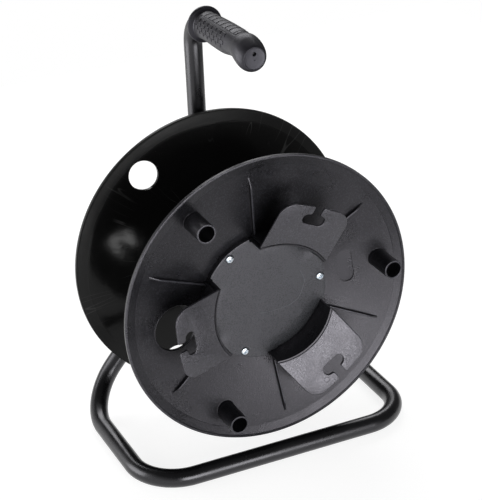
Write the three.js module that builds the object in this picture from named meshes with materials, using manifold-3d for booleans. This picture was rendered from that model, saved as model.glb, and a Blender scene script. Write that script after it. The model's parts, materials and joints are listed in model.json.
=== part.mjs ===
// Empty cable drum on a bent steel tube frame, with a carry handle over the drum.
// Millimetres, Z up. The drum axis runs along Y and the front faces -Y.
// The origin is on the floor, under the middle of the drum.
import * as THREE from 'three';
import { mergeVertices } from 'three/addons/utils/BufferGeometryUtils.js';
import Module from 'manifold-3d';

const wasm = await Module();
wasm.setup();

// Clearances, and the overrun of every cut
const FIT_GAP = 0.3;
const RUNNING_CLEARANCE = 0.05;
const CUT_OVERRUN = 2;
const MERGE_DISTANCE = 0.0001;

// Flanges
const FLANGE_DIAMETER = 310;
const DRUM_WIDTH = 141.6;
const FLANGE_WALL = 3.2;
const RIM_WIDTH = 4;
const RIM_EDGE = 0.8;
const BAND_WIDTH = 11;
const BAND_DEPTH = 3.4;
const HUB_DIAMETER = 139;
const HUB_DEPTH = 17;

// Stubs, holes, ribs and the sunk field of the flanges
const STUB_RIM_DISTANCE = 27.7;
const STUB_DIAMETER = 20;
const STUB_WALL = 1.9;
const STUB_REACH = 27;
const REAR_HOLE_DIAMETER = 31;
const CABLE_OPENING_DIAMETER = 48;
const CABLE_OPENING_HUB_DISTANCE = 4.7;
const RIB_THICKNESS = 2;
const RIB_HEIGHT = 4.5;
const RIB_BAND_DISTANCE = 8;
const RIB_SLOPE_LENGTH = 10;
const FIELD_HUB_DISTANCE = 15.3;
const FIELD_WIDTH = 16;
const FIELD_LENGTH = 37;
const FIELD_DEPTH = 0.6;

// Core
const CORE_STEP = 0.5;
const CORE_WALL = 3.5;
const CORE_WEB = 3;
const BEARING_WALL = 4;

// Hub walls and catch plates
const WALL_THICKNESS = 1.8;
const CATCH_FOOT_THICKNESS = 2.1;
const CATCH_RISE = 15.5;
const CATCH_THICKNESS = 2.6;
const CATCH_HALF_WIDTH = 39;
const CATCH_LENGTH = 45.2;
const CATCH_EDGE_DROP = 1.1;
const CATCH_CORNER = 16;
const CATCH_LIP_RADIUS = 2.4;
const NOTCH_HALF_WIDTH = 4.7;
const NOTCH_NECK_LENGTH = 7.3;
const NOTCH_SHOULDER_RADIUS = 2.4;
const NOTCH_LOBE_RADIUS = 5.3;

// Screws
const SCREW_SHANK_RADIUS = 2;
const SCREW_HEAD_RADIUS = 4.3;
const SCREW_HEAD_HEIGHT = 2.4;
const SCREW_HEAD_SINK = 1.2;
const SCREW_CROWN_SHARE = 0.7;
const SCREW_SIDE_SHARE = 0.45;
const SCREW_RECESS_LENGTH = 4.6;
const SCREW_RECESS_WIDTH = 1;
const SCREW_RECESS_DEPTH = 1.2;
const SCREW_ANCHOR_LENGTH = 9;
const SCREW_BOSS_LENGTH = 14;

// Hub cover
const COVER_WALL = 2.4;
const COVER_ROOM = 1.4;
const COVER_EDGE_GAP = 1.5;
const COVER_SCREW_EDGE = 5.8;
const LEDGE_MARGIN = 1.2;

// Running gear
const SPINDLE_RADIUS = 8;
const SPINDLE_SHOULDER_STEP = 3;
const SPINDLE_THREAD_STEP = 2;
const SPINDLE_TAIL_LENGTH = 3;
const SPINDLE_POINT_LENGTH = 3;
const SPINDLE_NOSE_ROOM = 12.7;
const HUB_HOLE_CLEARANCE = 2;
const BUSH_WALL = 5;
const BUSH_LENGTH = 18;
const BUSH_FLANGE_WIDTH = 4;
const BUSH_FLANGE_THICKNESS = 2;
const WASHER_WIDTH = 7;
const WASHER_THICKNESS = 1.5;
const NUT_WALL = 3.5;
const NUT_HEIGHT = 8;

// Frame
const TUBE_DIAMETER = 19.2;
const TUBE_WALL = 1.5;
const FLOOR_CLEARANCE = 18.6;
const SIDE_MARGIN = 3.1;
const FRAME_CLEARANCE = 11.6;
const FRONT_BEND_RADIUS = 48;
const REAR_BEND_RADIUS = 53;
const LEG_BEND_RADIUS = 40;
const LEG_JOINT_RISE = 8.4;
const LEG_SPLICE_LENGTH = 40;
const HANDLE_BEND_RADIUS = 30;
const HANDLE_RISE = 95.6;
const PLATE_WIDTH = 84;
const PLATE_HEIGHT = 90;
const PLATE_THICKNESS = 4;
const PLATE_CORNER = 14;

// Handle grip
const GRIP_LENGTH = 119;
const GRIP_WALL = 5.2;
const GRIP_CAP = 4;
const GRIP_DROOP = 4.1;
const GRIP_HOLE_RADIUS = 2.2;
const GRIP_HOLE_RISE = 4.5;

// Angles in degrees: round the axle they run from +X towards +Z
const FIRST_CATCH_ANGLE = 66.4;
const WALL_HALF_ANGLE = 35.5;
const CATCH_FOOT_SETBACK = 3.5;
const COVER_LOBE_SETBACK = 1;
const CATCH_TILT = 16.2;
const HANDLE_RAKE = 1.8;
const BEND_STEP = 15;

// Facets
const FLANGE_SIDES = 60;
const CORE_SIDES = 40;
const HOLE_SIDES = 20;
const SCREW_SIDES = 10;
const TUBE_SIDES = 14;
const BORE_SIDES = 8;
const CURVE_STEPS = 3;
const LONG_CURVE_STEPS = 8;

// Where the repeated pieces stand round the axle
const CATCH_ANGLES = [0, 120, 240].map((turn) => FIRST_CATCH_ANGLE + turn);
const STUB_ANGLES = CATCH_ANGLES.map((angle) => angle + 60);
const RIB_ANGLES = CATCH_ANGLES.flatMap((angle) => [angle - 30, angle + 30]);
const OPENING_ANGLE = CATCH_ANGLES[1];
const FIELD_ANGLE = STUB_ANGLES[2];
const CATCH_FOOT_HALF_ANGLE = WALL_HALF_ANGLE - CATCH_FOOT_SETBACK;
const COVER_LOBE_HALF_ANGLE = 60 - WALL_HALF_ANGLE - COVER_LOBE_SETBACK;

// Radii that follow from the sizes
const RIM_RADIUS = FLANGE_DIAMETER / 2;
const BAND_RADIUS = RIM_RADIUS - BAND_WIDTH;
const HUB_RADIUS = HUB_DIAMETER / 2;
const STUB_CIRCLE_RADIUS = RIM_RADIUS - STUB_RIM_DISTANCE;
const OPENING_CIRCLE_RADIUS = HUB_RADIUS + CABLE_OPENING_HUB_DISTANCE + CABLE_OPENING_DIAMETER / 2;
const FIELD_CIRCLE_RADIUS = HUB_RADIUS + FIELD_HUB_DISTANCE + FIELD_WIDTH / 2;
const RIB_TIP_RADIUS = BAND_RADIUS - RIB_BAND_DISTANCE;
const RIB_CREST_RADIUS = RIB_TIP_RADIUS - RIB_SLOPE_LENGTH;
const CORE_RADIUS = HUB_RADIUS - CORE_STEP;
const CATCH_INNER_RADIUS = HUB_RADIUS - FIT_GAP - CATCH_FOOT_THICKNESS;
const CATCH_TIP_RADIUS = CATCH_INNER_RADIUS + CATCH_LENGTH;
const WALL_OUTER_RADIUS = CATCH_INNER_RADIUS - FIT_GAP;
const WALL_RADIUS = WALL_OUTER_RADIUS - WALL_THICKNESS;
const COVER_WAIST_RADIUS = WALL_RADIUS - FIT_GAP;
const COVER_LOBE_RADIUS = HUB_RADIUS - COVER_EDGE_GAP;
const COVER_SCREW_CIRCLE_RADIUS = COVER_LOBE_RADIUS - COVER_SCREW_EDGE;
const FLANGE_SCREW_CIRCLE_RADIUS = COVER_WAIST_RADIUS - COVER_WALL - SCREW_HEAD_RADIUS - FIT_GAP;
const LEDGE_RADIUS = FLANGE_SCREW_CIRCLE_RADIUS - SCREW_HEAD_RADIUS - LEDGE_MARGIN;
const SPINDLE_SHOULDER_RADIUS = SPINDLE_RADIUS + SPINDLE_SHOULDER_STEP;
const SPINDLE_THREAD_RADIUS = SPINDLE_RADIUS - SPINDLE_THREAD_STEP;
const HUB_HOLE_RADIUS = SPINDLE_SHOULDER_RADIUS + HUB_HOLE_CLEARANCE;
const BUSH_RADIUS = SPINDLE_RADIUS + BUSH_WALL;
const BEARING_RADIUS = BUSH_RADIUS + FIT_GAP;
const TUBE_RADIUS = TUBE_DIAMETER / 2;
const GRIP_RADIUS = TUBE_RADIUS + GRIP_WALL;

// Places along Y that follow from the sizes, from the front to the rear
const RIM_Y = DRUM_WIDTH / 2;
const CORE_END_Y = RIM_Y - HUB_DEPTH - FLANGE_WALL - FIT_GAP;
const SCREW_SEAT_DEPTH = HUB_DEPTH - FIT_GAP;
const COVER_DEPTH = SCREW_SEAT_DEPTH - SCREW_HEAD_HEIGHT - COVER_ROOM - COVER_WALL;
const SPINDLE_TIP_Y = -RIM_Y + COVER_DEPTH + COVER_WALL + SPINDLE_NOSE_ROOM;
const NUT_SEAT_Y = SPINDLE_TIP_Y + SPINDLE_POINT_LENGTH + NUT_HEIGHT;
const FRONT_WASHER_Y = NUT_SEAT_Y + FIT_GAP;
const FRONT_BUSH_Y = FRONT_WASHER_Y + WASHER_THICKNESS + FIT_GAP;
const BEARING_FRONT_Y = FRONT_BUSH_Y + BUSH_FLANGE_THICKNESS + FIT_GAP;
const REAR_WASHER_Y = CORE_END_Y - WASHER_THICKNESS;
const REAR_BUSH_Y = REAR_WASHER_Y - FIT_GAP;
const BEARING_REAR_Y = REAR_BUSH_Y - BUSH_FLANGE_THICKNESS - FIT_GAP;
const MAST_Y = RIM_Y + FRAME_CLEARANCE + TUBE_RADIUS;
const PLATE_Y = MAST_Y - TUBE_RADIUS - FIT_GAP - PLATE_THICKNESS;

// Places along X and Z that follow from the sizes
const AXLE_Z = FLOOR_CLEARANCE + RIM_RADIUS;
const BASE_Z = TUBE_RADIUS * Math.cos(Math.PI / TUBE_SIDES);
const SIDE_X = RIM_RADIUS + SIDE_MARGIN - TUBE_RADIUS;
const HANDLE_Z = AXLE_Z + RIM_RADIUS + HANDLE_RISE;

const radians = (degrees) => THREE.MathUtils.degToRad(degrees);

// Places along Y from a depth behind the rim plane: on the front flange, and mirrored on the rear one
const front = (depth) => -RIM_Y + depth;
const rear = (depth) => RIM_Y - depth;

// The depth of a flange's outer face at a radius between the hub and the band
function flangeDepth(radius) {
  const share = (radius - HUB_RADIUS) / (BAND_RADIUS - HUB_RADIUS);
  return THREE.MathUtils.lerp(HUB_DEPTH, BAND_DEPTH, share);
}

// A closed geometry as a solid that can be joined and cut
function solid(geometry) {
  const plain = geometry.clone();
  plain.deleteAttribute('normal');
  plain.deleteAttribute('uv');
  const merged = mergeVertices(plain, MERGE_DISTANCE);
  const triangles = merged.index.array;
  const places = merged.attributes.position.array;
  const kept = [];
  for (let i = 0; i < triangles.length; i += 3) {
    const [a, b, c] = triangles.slice(i, i + 3);
    if (a !== b && b !== c && c !== a) kept.push(a, b, c);
  }
  if (signedVolume(places, kept) < 0) kept.reverse();
  return new wasm.Manifold(new wasm.Mesh({
    numProp: 3,
    vertProperties: Float32Array.from(places),
    triVerts: Uint32Array.from(kept),
  }));
}

function signedVolume(places, triangles) {
  const [a, b, c] = [new THREE.Vector3(), new THREE.Vector3(), new THREE.Vector3()];
  let volume = 0;
  for (let i = 0; i < triangles.length; i += 3) {
    a.fromArray(places, triangles[i] * 3);
    b.fromArray(places, triangles[i + 1] * 3);
    c.fromArray(places, triangles[i + 2] * 3);
    volume += a.dot(b.cross(c));
  }
  return volume;
}

// A joined and cut solid as a geometry for a mesh
function geometryOf(body) {
  const { vertProperties, triVerts } = body.getMesh();
  const geometry = new THREE.BufferGeometry();
  geometry.setAttribute('position', new THREE.BufferAttribute(vertProperties, 3));
  geometry.setIndex(Array.from(triVerts));
  geometry.computeVertexNormals();
  return geometry;
}

// A closed outline of radii and places along Y, turned about the drum axis
function turned(outline, sides) {
  const points = outline.map(([radius, y]) => new THREE.Vector2(radius, y));
  points.push(points[0].clone());
  return solid(new THREE.LatheGeometry(points, sides));
}

// A round bar, and a sleeve of two radii, along the drum axis
const bar = (radius, from, to, sides) => turned([[0, from], [radius, from], [radius, to], [0, to]], sides);
const sleeve = (inner, outer, from, to, sides) => turned(
  [[inner, from], [outer, from], [outer, to], [inner, to]],
  sides,
);

// The radius of a faceted hole whose flats clear a round bar by a gap
const holeRadius = (radius, gap, sides) => (radius + gap) / Math.cos(Math.PI / sides);

// A flat outline of radial and sideways places, run along the drum axis
function prism(shape, from, to, curveSegments = LONG_CURVE_STEPS) {
  const geometry = new THREE.ExtrudeGeometry(shape, { depth: to - from, bevelEnabled: false, curveSegments });
  geometry.rotateX(Math.PI / 2);
  geometry.translate(0, to, 0);
  return solid(geometry);
}

// A solid made round +X, turned to an angle round the axle, after a move out to a radius
const spun = (body, angle) => body.rotate([0, -angle, 0]);
const placed = (body, radius, angle) => spun(body.translate([radius, 0, 0]), angle);
const mirrored = (body) => body.mirror([0, 1, 0]);

const joined = (bodies) => bodies.reduce((sum, body) => sum.add(body));
const cut = (body, tools) => tools.reduce((rest, tool) => rest.subtract(tool), body);

// The dished wall of a flange, from an inner radius out to its turned rim
function flangeDish(innerRadius, place) {
  const edge = RIM_RADIUS - RIM_EDGE;
  return turned([
    [innerRadius, place(HUB_DEPTH)],
    [HUB_RADIUS, place(HUB_DEPTH)],
    [BAND_RADIUS, place(BAND_DEPTH)],
    [edge, place(0)],
    [RIM_RADIUS, place(RIM_EDGE)],
    [RIM_RADIUS, place(RIM_WIDTH - RIM_EDGE)],
    [edge, place(RIM_WIDTH)],
    [BAND_RADIUS, place(BAND_DEPTH + FLANGE_WALL)],
    [HUB_RADIUS, place(HUB_DEPTH + FLANGE_WALL)],
    [innerRadius, place(HUB_DEPTH + FLANGE_WALL)],
  ], FLANGE_SIDES);
}

// A slab under the tilted front plane of the catch plate that points along +X
function tiltedSlab(thickness) {
  const slab = new THREE.BoxGeometry(FLANGE_DIAMETER, thickness, RIM_RADIUS);
  slab.translate(0, thickness / 2, 0);
  slab.rotateZ(-radians(CATCH_TILT));
  slab.translate(WALL_OUTER_RADIUS, front(-CATCH_RISE), 0);
  return solid(slab);
}

// A stretch of ring round +X
function arcOutline(inner, outer, halfAngle) {
  const half = radians(halfAngle);
  const shape = new THREE.Shape();
  shape.absarc(0, 0, outer, -half, half, false);
  shape.absarc(0, 0, inner, half, -half, true);
  return shape;
}

// A curved wall on the hub, cut off along the plane of its catch plate
function hubWall(angle) {
  const outline = arcOutline(WALL_RADIUS, WALL_OUTER_RADIUS, WALL_HALF_ANGLE);
  const wall = prism(outline, front(-RIM_RADIUS), front(HUB_DEPTH + FLANGE_WALL / 2));
  return spun(wall.intersect(tiltedSlab(RIM_RADIUS)), angle);
}

function stub(angle) {
  const foot = front(flangeDepth(STUB_CIRCLE_RADIUS) + FLANGE_WALL / 2);
  return placed(bar(STUB_DIAMETER / 2, front(-STUB_REACH), foot, HOLE_SIDES), STUB_CIRCLE_RADIUS, angle);
}

function stubBore(angle) {
  const floor = front(flangeDepth(STUB_CIRCLE_RADIUS));
  const bore = bar(STUB_DIAMETER / 2 - STUB_WALL, front(-STUB_REACH - CUT_OVERRUN), floor, HOLE_SIDES);
  return placed(bore, STUB_CIRCLE_RADIUS, angle);
}

// A low radial rib that follows the dish and slopes away at its tip
function rib(angle) {
  const root = FLANGE_WALL / 2;
  const shape = new THREE.Shape([
    [HUB_RADIUS, root],
    [RIB_TIP_RADIUS, root],
    [RIB_TIP_RADIUS, 0],
    [RIB_CREST_RADIUS, -RIB_HEIGHT],
    [HUB_RADIUS, -RIB_HEIGHT],
  ].map(([radius, depth]) => new THREE.Vector2(radius, front(flangeDepth(radius) + depth))));
  const geometry = new THREE.ExtrudeGeometry(shape, { depth: RIB_THICKNESS, bevelEnabled: false });
  geometry.translate(0, 0, -RIB_THICKNESS / 2);
  return spun(solid(geometry), angle);
}

// The shallow stadium field that is sunk into the dish
function sunkField() {
  const radius = FIELD_WIDTH / 2;
  const straight = FIELD_LENGTH / 2 - radius;
  const shape = new THREE.Shape();
  shape.absarc(0, straight, radius, 0, Math.PI, false);
  shape.absarc(0, -straight, radius, Math.PI, Math.PI * 2, false);
  const slope = Math.atan2(HUB_DEPTH - BAND_DEPTH, BAND_RADIUS - HUB_RADIUS);
  return prism(shape, -CUT_OVERRUN, FIELD_DEPTH, CURVE_STEPS * 2)
    .rotate([0, 0, -THREE.MathUtils.radToDeg(slope)])
    .translate([0, front(flangeDepth(FIELD_CIRCLE_RADIUS)), 0]);
}

function screwHoles(circleRadius, angles, from, to) {
  const hole = bar(holeRadius(SCREW_SHANK_RADIUS, FIT_GAP, SCREW_SIDES), from, to, SCREW_SIDES);
  return angles.map((angle) => placed(hole, circleRadius, angle));
}

function frontFlange() {
  const hub = [front(HUB_DEPTH - CUT_OVERRUN), front(HUB_DEPTH + FLANGE_WALL + CUT_OVERRUN)];
  const opening = bar(CABLE_OPENING_DIAMETER / 2, front(0), front(HUB_DEPTH + FLANGE_WALL), CORE_SIDES);
  const body = joined([
    flangeDish(LEDGE_RADIUS, front),
    ...CATCH_ANGLES.map(hubWall),
    ...STUB_ANGLES.map(stub),
    ...RIB_ANGLES.map(rib),
  ]);
  return cut(body, [
    ...STUB_ANGLES.map(stubBore),
    ...screwHoles(COVER_SCREW_CIRCLE_RADIUS, STUB_ANGLES, ...hub),
    ...screwHoles(FLANGE_SCREW_CIRCLE_RADIUS, CATCH_ANGLES, ...hub),
    placed(opening, OPENING_CIRCLE_RADIUS, OPENING_ANGLE),
    placed(sunkField(), FIELD_CIRCLE_RADIUS, FIELD_ANGLE),
  ]);
}

function rearFlange() {
  const hub = [rear(HUB_DEPTH + FLANGE_WALL + CUT_OVERRUN), rear(HUB_DEPTH - CUT_OVERRUN)];
  const hole = bar(REAR_HOLE_DIAMETER / 2, rear(HUB_DEPTH + FLANGE_WALL), rear(0), HOLE_SIDES);
  return cut(flangeDish(HUB_HOLE_RADIUS, rear), [
    ...STUB_ANGLES.map((angle) => placed(hole, STUB_CIRCLE_RADIUS, angle)),
    ...screwHoles(FLANGE_SCREW_CIRCLE_RADIUS, STUB_ANGLES, ...hub),
  ]);
}

// A boss that grows out of the middle of the core's wall, behind one end of the core
function screwBoss(circleRadius, angle) {
  const radius = CORE_RADIUS - CORE_WALL / 2 - circleRadius;
  return placed(bar(radius, -CORE_END_Y, SCREW_BOSS_LENGTH - CORE_END_Y, SCREW_SIDES), circleRadius, angle);
}

// The hollow core: barrel, cross web, bearing tube and screw bosses in one moulding
function coreBarrel() {
  const inner = CORE_RADIUS - CORE_WALL;
  const bearing = BEARING_RADIUS + BEARING_WALL;
  const shell = turned([
    [BEARING_RADIUS, BEARING_FRONT_Y],
    [bearing, BEARING_FRONT_Y],
    [bearing, -CORE_WEB / 2],
    [inner, -CORE_WEB / 2],
    [inner, -CORE_END_Y],
    [CORE_RADIUS, -CORE_END_Y],
    [CORE_RADIUS, CORE_END_Y],
    [inner, CORE_END_Y],
    [inner, CORE_WEB / 2],
    [bearing, CORE_WEB / 2],
    [bearing, BEARING_REAR_Y],
    [BEARING_RADIUS, BEARING_REAR_Y],
  ], CORE_SIDES);
  const ends = [-CORE_END_Y - CUT_OVERRUN, -CORE_END_Y + SCREW_BOSS_LENGTH - CUT_OVERRUN];
  return cut(joined([
    shell,
    ...STUB_ANGLES.map((angle) => screwBoss(COVER_SCREW_CIRCLE_RADIUS, angle)),
    ...CATCH_ANGLES.map((angle) => screwBoss(FLANGE_SCREW_CIRCLE_RADIUS, angle)),
    ...STUB_ANGLES.map((angle) => mirrored(screwBoss(FLANGE_SCREW_CIRCLE_RADIUS, angle))),
  ]), [
    ...screwHoles(COVER_SCREW_CIRCLE_RADIUS, STUB_ANGLES, ...ends),
    ...screwHoles(FLANGE_SCREW_CIRCLE_RADIUS, CATCH_ANGLES, ...ends),
    ...screwHoles(FLANGE_SCREW_CIRCLE_RADIUS, STUB_ANGLES, ...ends).map(mirrored),
  ]);
}

// Three lobes between the hub walls and an arc inside each wall, drawn in by an inset
function coverOutline(inset) {
  const half = radians(COVER_LOBE_HALF_ANGLE) - inset / COVER_LOBE_RADIUS;
  const shape = new THREE.Shape();
  for (const angle of STUB_ANGLES) {
    const middle = radians(angle);
    shape.absarc(0, 0, COVER_LOBE_RADIUS - inset, middle - half, middle + half, false);
    shape.absarc(0, 0, COVER_WAIST_RADIUS - inset, middle + half, middle + radians(120) - half, false);
  }
  return shape;
}

function hubCover() {
  const top = front(COVER_DEPTH);
  const under = top + COVER_WALL;
  const foot = front(HUB_DEPTH - FIT_GAP);
  const outer = prism(coverOutline(0), top, foot);
  const hollow = prism(coverOutline(COVER_WALL), under, foot + CUT_OVERRUN);
  const headRoom = SCREW_HEAD_RADIUS + FIT_GAP;
  const post = bar(headRoom + COVER_WALL / 2, under, foot, SCREW_SIDES);
  const sink = bar(headRoom, top - CUT_OVERRUN, top + SCREW_HEAD_SINK, HOLE_SIDES);
  const posts = STUB_ANGLES.map((angle) => placed(post, COVER_SCREW_CIRCLE_RADIUS, angle).intersect(outer));
  return cut(joined([outer.subtract(hollow), ...posts]), [
    ...STUB_ANGLES.map((angle) => placed(sink, COVER_SCREW_CIRCLE_RADIUS, angle)),
    ...screwHoles(COVER_SCREW_CIRCLE_RADIUS, STUB_ANGLES, top, foot + CUT_OVERRUN),
  ]);
}

// The catch plate from the axle outward along +X, with the notch that opens at its outer edge
function catchOutline() {
  const corner = [CATCH_TIP_RADIUS - CATCH_EDGE_DROP - CATCH_CORNER, CATCH_HALF_WIDTH - CATCH_CORNER];
  const lip = [CATCH_TIP_RADIUS - CATCH_LIP_RADIUS, NOTCH_HALF_WIDTH + CATCH_LIP_RADIUS];
  const shoulder = [CATCH_TIP_RADIUS - NOTCH_NECK_LENGTH, NOTCH_HALF_WIDTH + NOTCH_SHOULDER_RADIUS];
  const lobe = [shoulder[0] - NOTCH_SHOULDER_RADIUS - NOTCH_LOBE_RADIUS, shoulder[1]];
  const quarter = Math.PI / 2;
  const shape = new THREE.Shape();
  shape.absarc(corner[0], -corner[1], CATCH_CORNER, -quarter, 0, false);
  shape.absarc(lip[0], -lip[1], CATCH_LIP_RADIUS, 0, quarter, false);
  shape.absarc(shoulder[0], -shoulder[1], NOTCH_SHOULDER_RADIUS, quarter, Math.PI, false);
  shape.absarc(lobe[0], -lobe[1], NOTCH_LOBE_RADIUS, 0, Math.PI, true);
  shape.absarc(lobe[0], lobe[1], NOTCH_LOBE_RADIUS, Math.PI, 0, true);
  shape.absarc(shoulder[0], shoulder[1], NOTCH_SHOULDER_RADIUS, Math.PI, quarter * 3, false);
  shape.absarc(lip[0], lip[1], CATCH_LIP_RADIUS, -quarter, 0, false);
  shape.absarc(corner[0], corner[1], CATCH_CORNER, 0, quarter, false);
  shape.lineTo(0, CATCH_HALF_WIDTH);
  shape.lineTo(0, -CATCH_HALF_WIDTH);
  return shape;
}

// A tilted catch plate with the curved foot that stands on the hub beside its wall
function cableCatch(angle) {
  const footOuter = CATCH_INNER_RADIUS + CATCH_FOOT_THICKNESS;
  const footOutline = arcOutline(CATCH_INNER_RADIUS, footOuter, CATCH_FOOT_HALF_ANGLE);
  const plate = prism(catchOutline(), front(-RIM_RADIUS), front(HUB_DEPTH), CURVE_STEPS)
    .intersect(tiltedSlab(CATCH_THICKNESS))
    .subtract(bar(CATCH_INNER_RADIUS, front(-RIM_RADIUS), front(HUB_DEPTH), FLANGE_SIDES));
  const foot = prism(footOutline, front(-RIM_RADIUS), front(HUB_DEPTH - FIT_GAP))
    .intersect(tiltedSlab(RIM_RADIUS));
  return spun(plate.add(foot), angle);
}

// A pan head screw that looks along -Y, with the seat of its head at y = 0
function panScrew(length) {
  const body = turned([
    [0, -SCREW_HEAD_HEIGHT],
    [SCREW_HEAD_RADIUS * SCREW_CROWN_SHARE, -SCREW_HEAD_HEIGHT],
    [SCREW_HEAD_RADIUS, -SCREW_HEAD_HEIGHT * SCREW_SIDE_SHARE],
    [SCREW_HEAD_RADIUS, 0],
    [SCREW_SHANK_RADIUS, 0],
    [SCREW_SHANK_RADIUS, length],
    [0, length],
  ], SCREW_SIDES);
  const slot = [SCREW_RECESS_LENGTH, SCREW_RECESS_DEPTH * 2, SCREW_RECESS_WIDTH];
  const across = solid(new THREE.BoxGeometry(...slot)).translate([0, -SCREW_HEAD_HEIGHT, 0]);
  return body.subtract(across.add(spun(across, 90)));
}

function coverScrew(angle) {
  const seat = COVER_DEPTH + SCREW_HEAD_SINK - FIT_GAP;
  const tip = HUB_DEPTH + FLANGE_WALL + SCREW_ANCHOR_LENGTH;
  return placed(panScrew(tip - seat).translate([0, front(seat), 0]), COVER_SCREW_CIRCLE_RADIUS, angle);
}

function flangeScrew(angle) {
  const tip = HUB_DEPTH + FLANGE_WALL + SCREW_ANCHOR_LENGTH;
  const screw = panScrew(tip - SCREW_SEAT_DEPTH).translate([0, front(SCREW_SEAT_DEPTH), 0]);
  return placed(screw, FLANGE_SCREW_CIRCLE_RADIUS, angle);
}

// A bush with its flange in front, from y = 0 backwards
function bush() {
  const bore = holeRadius(SPINDLE_RADIUS, RUNNING_CLEARANCE, HOLE_SIDES);
  const flange = BUSH_RADIUS + BUSH_FLANGE_WIDTH;
  return turned([
    [bore, 0],
    [flange, 0],
    [flange, BUSH_FLANGE_THICKNESS],
    [BUSH_RADIUS, BUSH_FLANGE_THICKNESS],
    [BUSH_RADIUS, BUSH_FLANGE_THICKNESS + BUSH_LENGTH],
    [bore, BUSH_FLANGE_THICKNESS + BUSH_LENGTH],
  ], HOLE_SIDES);
}

function washer(from) {
  const bore = holeRadius(SPINDLE_RADIUS, FIT_GAP, HOLE_SIDES);
  return sleeve(bore, SPINDLE_RADIUS + WASHER_WIDTH, from, from + WASHER_THICKNESS, HOLE_SIDES);
}

function spindle() {
  const step = NUT_SEAT_Y + FIT_GAP;
  const shoulder = REAR_WASHER_Y + WASHER_THICKNESS + FIT_GAP;
  const plate = PLATE_Y - FIT_GAP;
  return turned([
    [0, SPINDLE_TIP_Y],
    [SPINDLE_THREAD_RADIUS, SPINDLE_TIP_Y],
    [SPINDLE_THREAD_RADIUS, step],
    [SPINDLE_RADIUS, step],
    [SPINDLE_RADIUS, shoulder],
    [SPINDLE_SHOULDER_RADIUS, shoulder],
    [SPINDLE_SHOULDER_RADIUS, plate],
    [SPINDLE_RADIUS, plate],
    [SPINDLE_RADIUS, PLATE_Y + SPINDLE_TAIL_LENGTH],
    [0, PLATE_Y + SPINDLE_TAIL_LENGTH],
  ], HOLE_SIDES);
}

function spindleNut() {
  const corner = (SPINDLE_THREAD_RADIUS + NUT_WALL) / Math.cos(Math.PI / 6);
  const bore = holeRadius(SPINDLE_THREAD_RADIUS, FIT_GAP, HOLE_SIDES);
  const hole = bar(bore, NUT_SEAT_Y - NUT_HEIGHT - CUT_OVERRUN, NUT_SEAT_Y + CUT_OVERRUN, HOLE_SIDES);
  return bar(corner, NUT_SEAT_Y - NUT_HEIGHT, NUT_SEAT_Y, 6).subtract(hole);
}

function roundedRectangle(width, height, corner) {
  const x = width / 2 - corner;
  const y = height / 2 - corner;
  const quarter = Math.PI / 2;
  const shape = new THREE.Shape();
  shape.absarc(x, y, corner, 0, quarter, false);
  shape.absarc(-x, y, corner, quarter, quarter * 2, false);
  shape.absarc(-x, -y, corner, quarter * 2, quarter * 3, false);
  shape.absarc(x, -y, corner, quarter * 3, quarter * 4, false);
  return shape;
}

// The plate in front of the tubes that carries the spindle
function axlePlate() {
  const rearY = PLATE_Y + PLATE_THICKNESS;
  const bore = holeRadius(SPINDLE_RADIUS, FIT_GAP, HOLE_SIDES);
  return prism(roundedRectangle(PLATE_WIDTH, PLATE_HEIGHT, PLATE_CORNER), PLATE_Y, rearY, CURVE_STEPS)
    .subtract(bar(bore, PLATE_Y - CUT_OVERRUN, rearY + CUT_OVERRUN, HOLE_SIDES));
}

// A bent tube's centre line: a station at each end of a straight run and along each bend, each with
// the two directions that carry the section along without twist
class TubeRoute extends THREE.Curve {
  constructor(stations) {
    super();
    this.stations = stations;
  }

  // The route through corners, each rounded by its radius
  static through(corners, radii) {
    const bends = radii.flatMap((radius, i) => bendStations(corners[i], corners[i + 1], corners[i + 2], radius));
    const last = corners[corners.length - 1];
    const start = { point: corners[0], tangent: bends[0].tangent };
    const end = { point: last, tangent: bends[bends.length - 1].tangent };
    const route = new TubeRoute([start, ...bends, end]);
    const frames = THREE.Curve.prototype.computeFrenetFrames.call(route, route.steps, false);
    route.stations.forEach((station, i) => {
      station.normal = frames.normals[i];
      station.binormal = frames.binormals[i];
    });
    return route;
  }

  get steps() {
    return this.stations.length - 1;
  }

  station(share) {
    return this.stations[Math.round(share * this.steps)];
  }

  getPointAt(share, target = new THREE.Vector3()) {
    return target.copy(this.station(share).point);
  }

  getTangentAt(share, target = new THREE.Vector3()) {
    return target.copy(this.station(share).tangent);
  }

  computeFrenetFrames() {
    return {
      tangents: this.stations.map(({ tangent }) => tangent),
      normals: this.stations.map(({ normal }) => normal),
      binormals: this.stations.map(({ binormal }) => binormal),
    };
  }
}

// Stations along the arc that rounds one corner
function bendStations(before, corner, after, radius) {
  const into = corner.clone().sub(before).normalize();
  const out = after.clone().sub(corner).normalize();
  const angle = into.angleTo(out);
  const axis = into.clone().cross(out).normalize();
  const start = corner.clone().addScaledVector(into, -radius * Math.tan(angle / 2));
  const centre = start.clone().addScaledVector(axis.clone().cross(into), radius);
  const steps = Math.ceil(THREE.MathUtils.radToDeg(angle) / BEND_STEP);
  return Array.from({ length: steps + 1 }, (_, i) => {
    const turn = (angle * i) / steps;
    return {
      point: start.clone().sub(centre).applyAxisAngle(axis, turn).add(centre),
      tangent: into.clone().applyAxisAngle(axis, turn),
    };
  });
}

// A point on the handle's centre line, at a distance in front of the mast
function handlePoint(distance) {
  const rake = radians(HANDLE_RAKE);
  return new THREE.Vector3(0, MAST_Y - distance * Math.cos(rake), HANDLE_Z + distance * Math.sin(rake));
}

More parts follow.
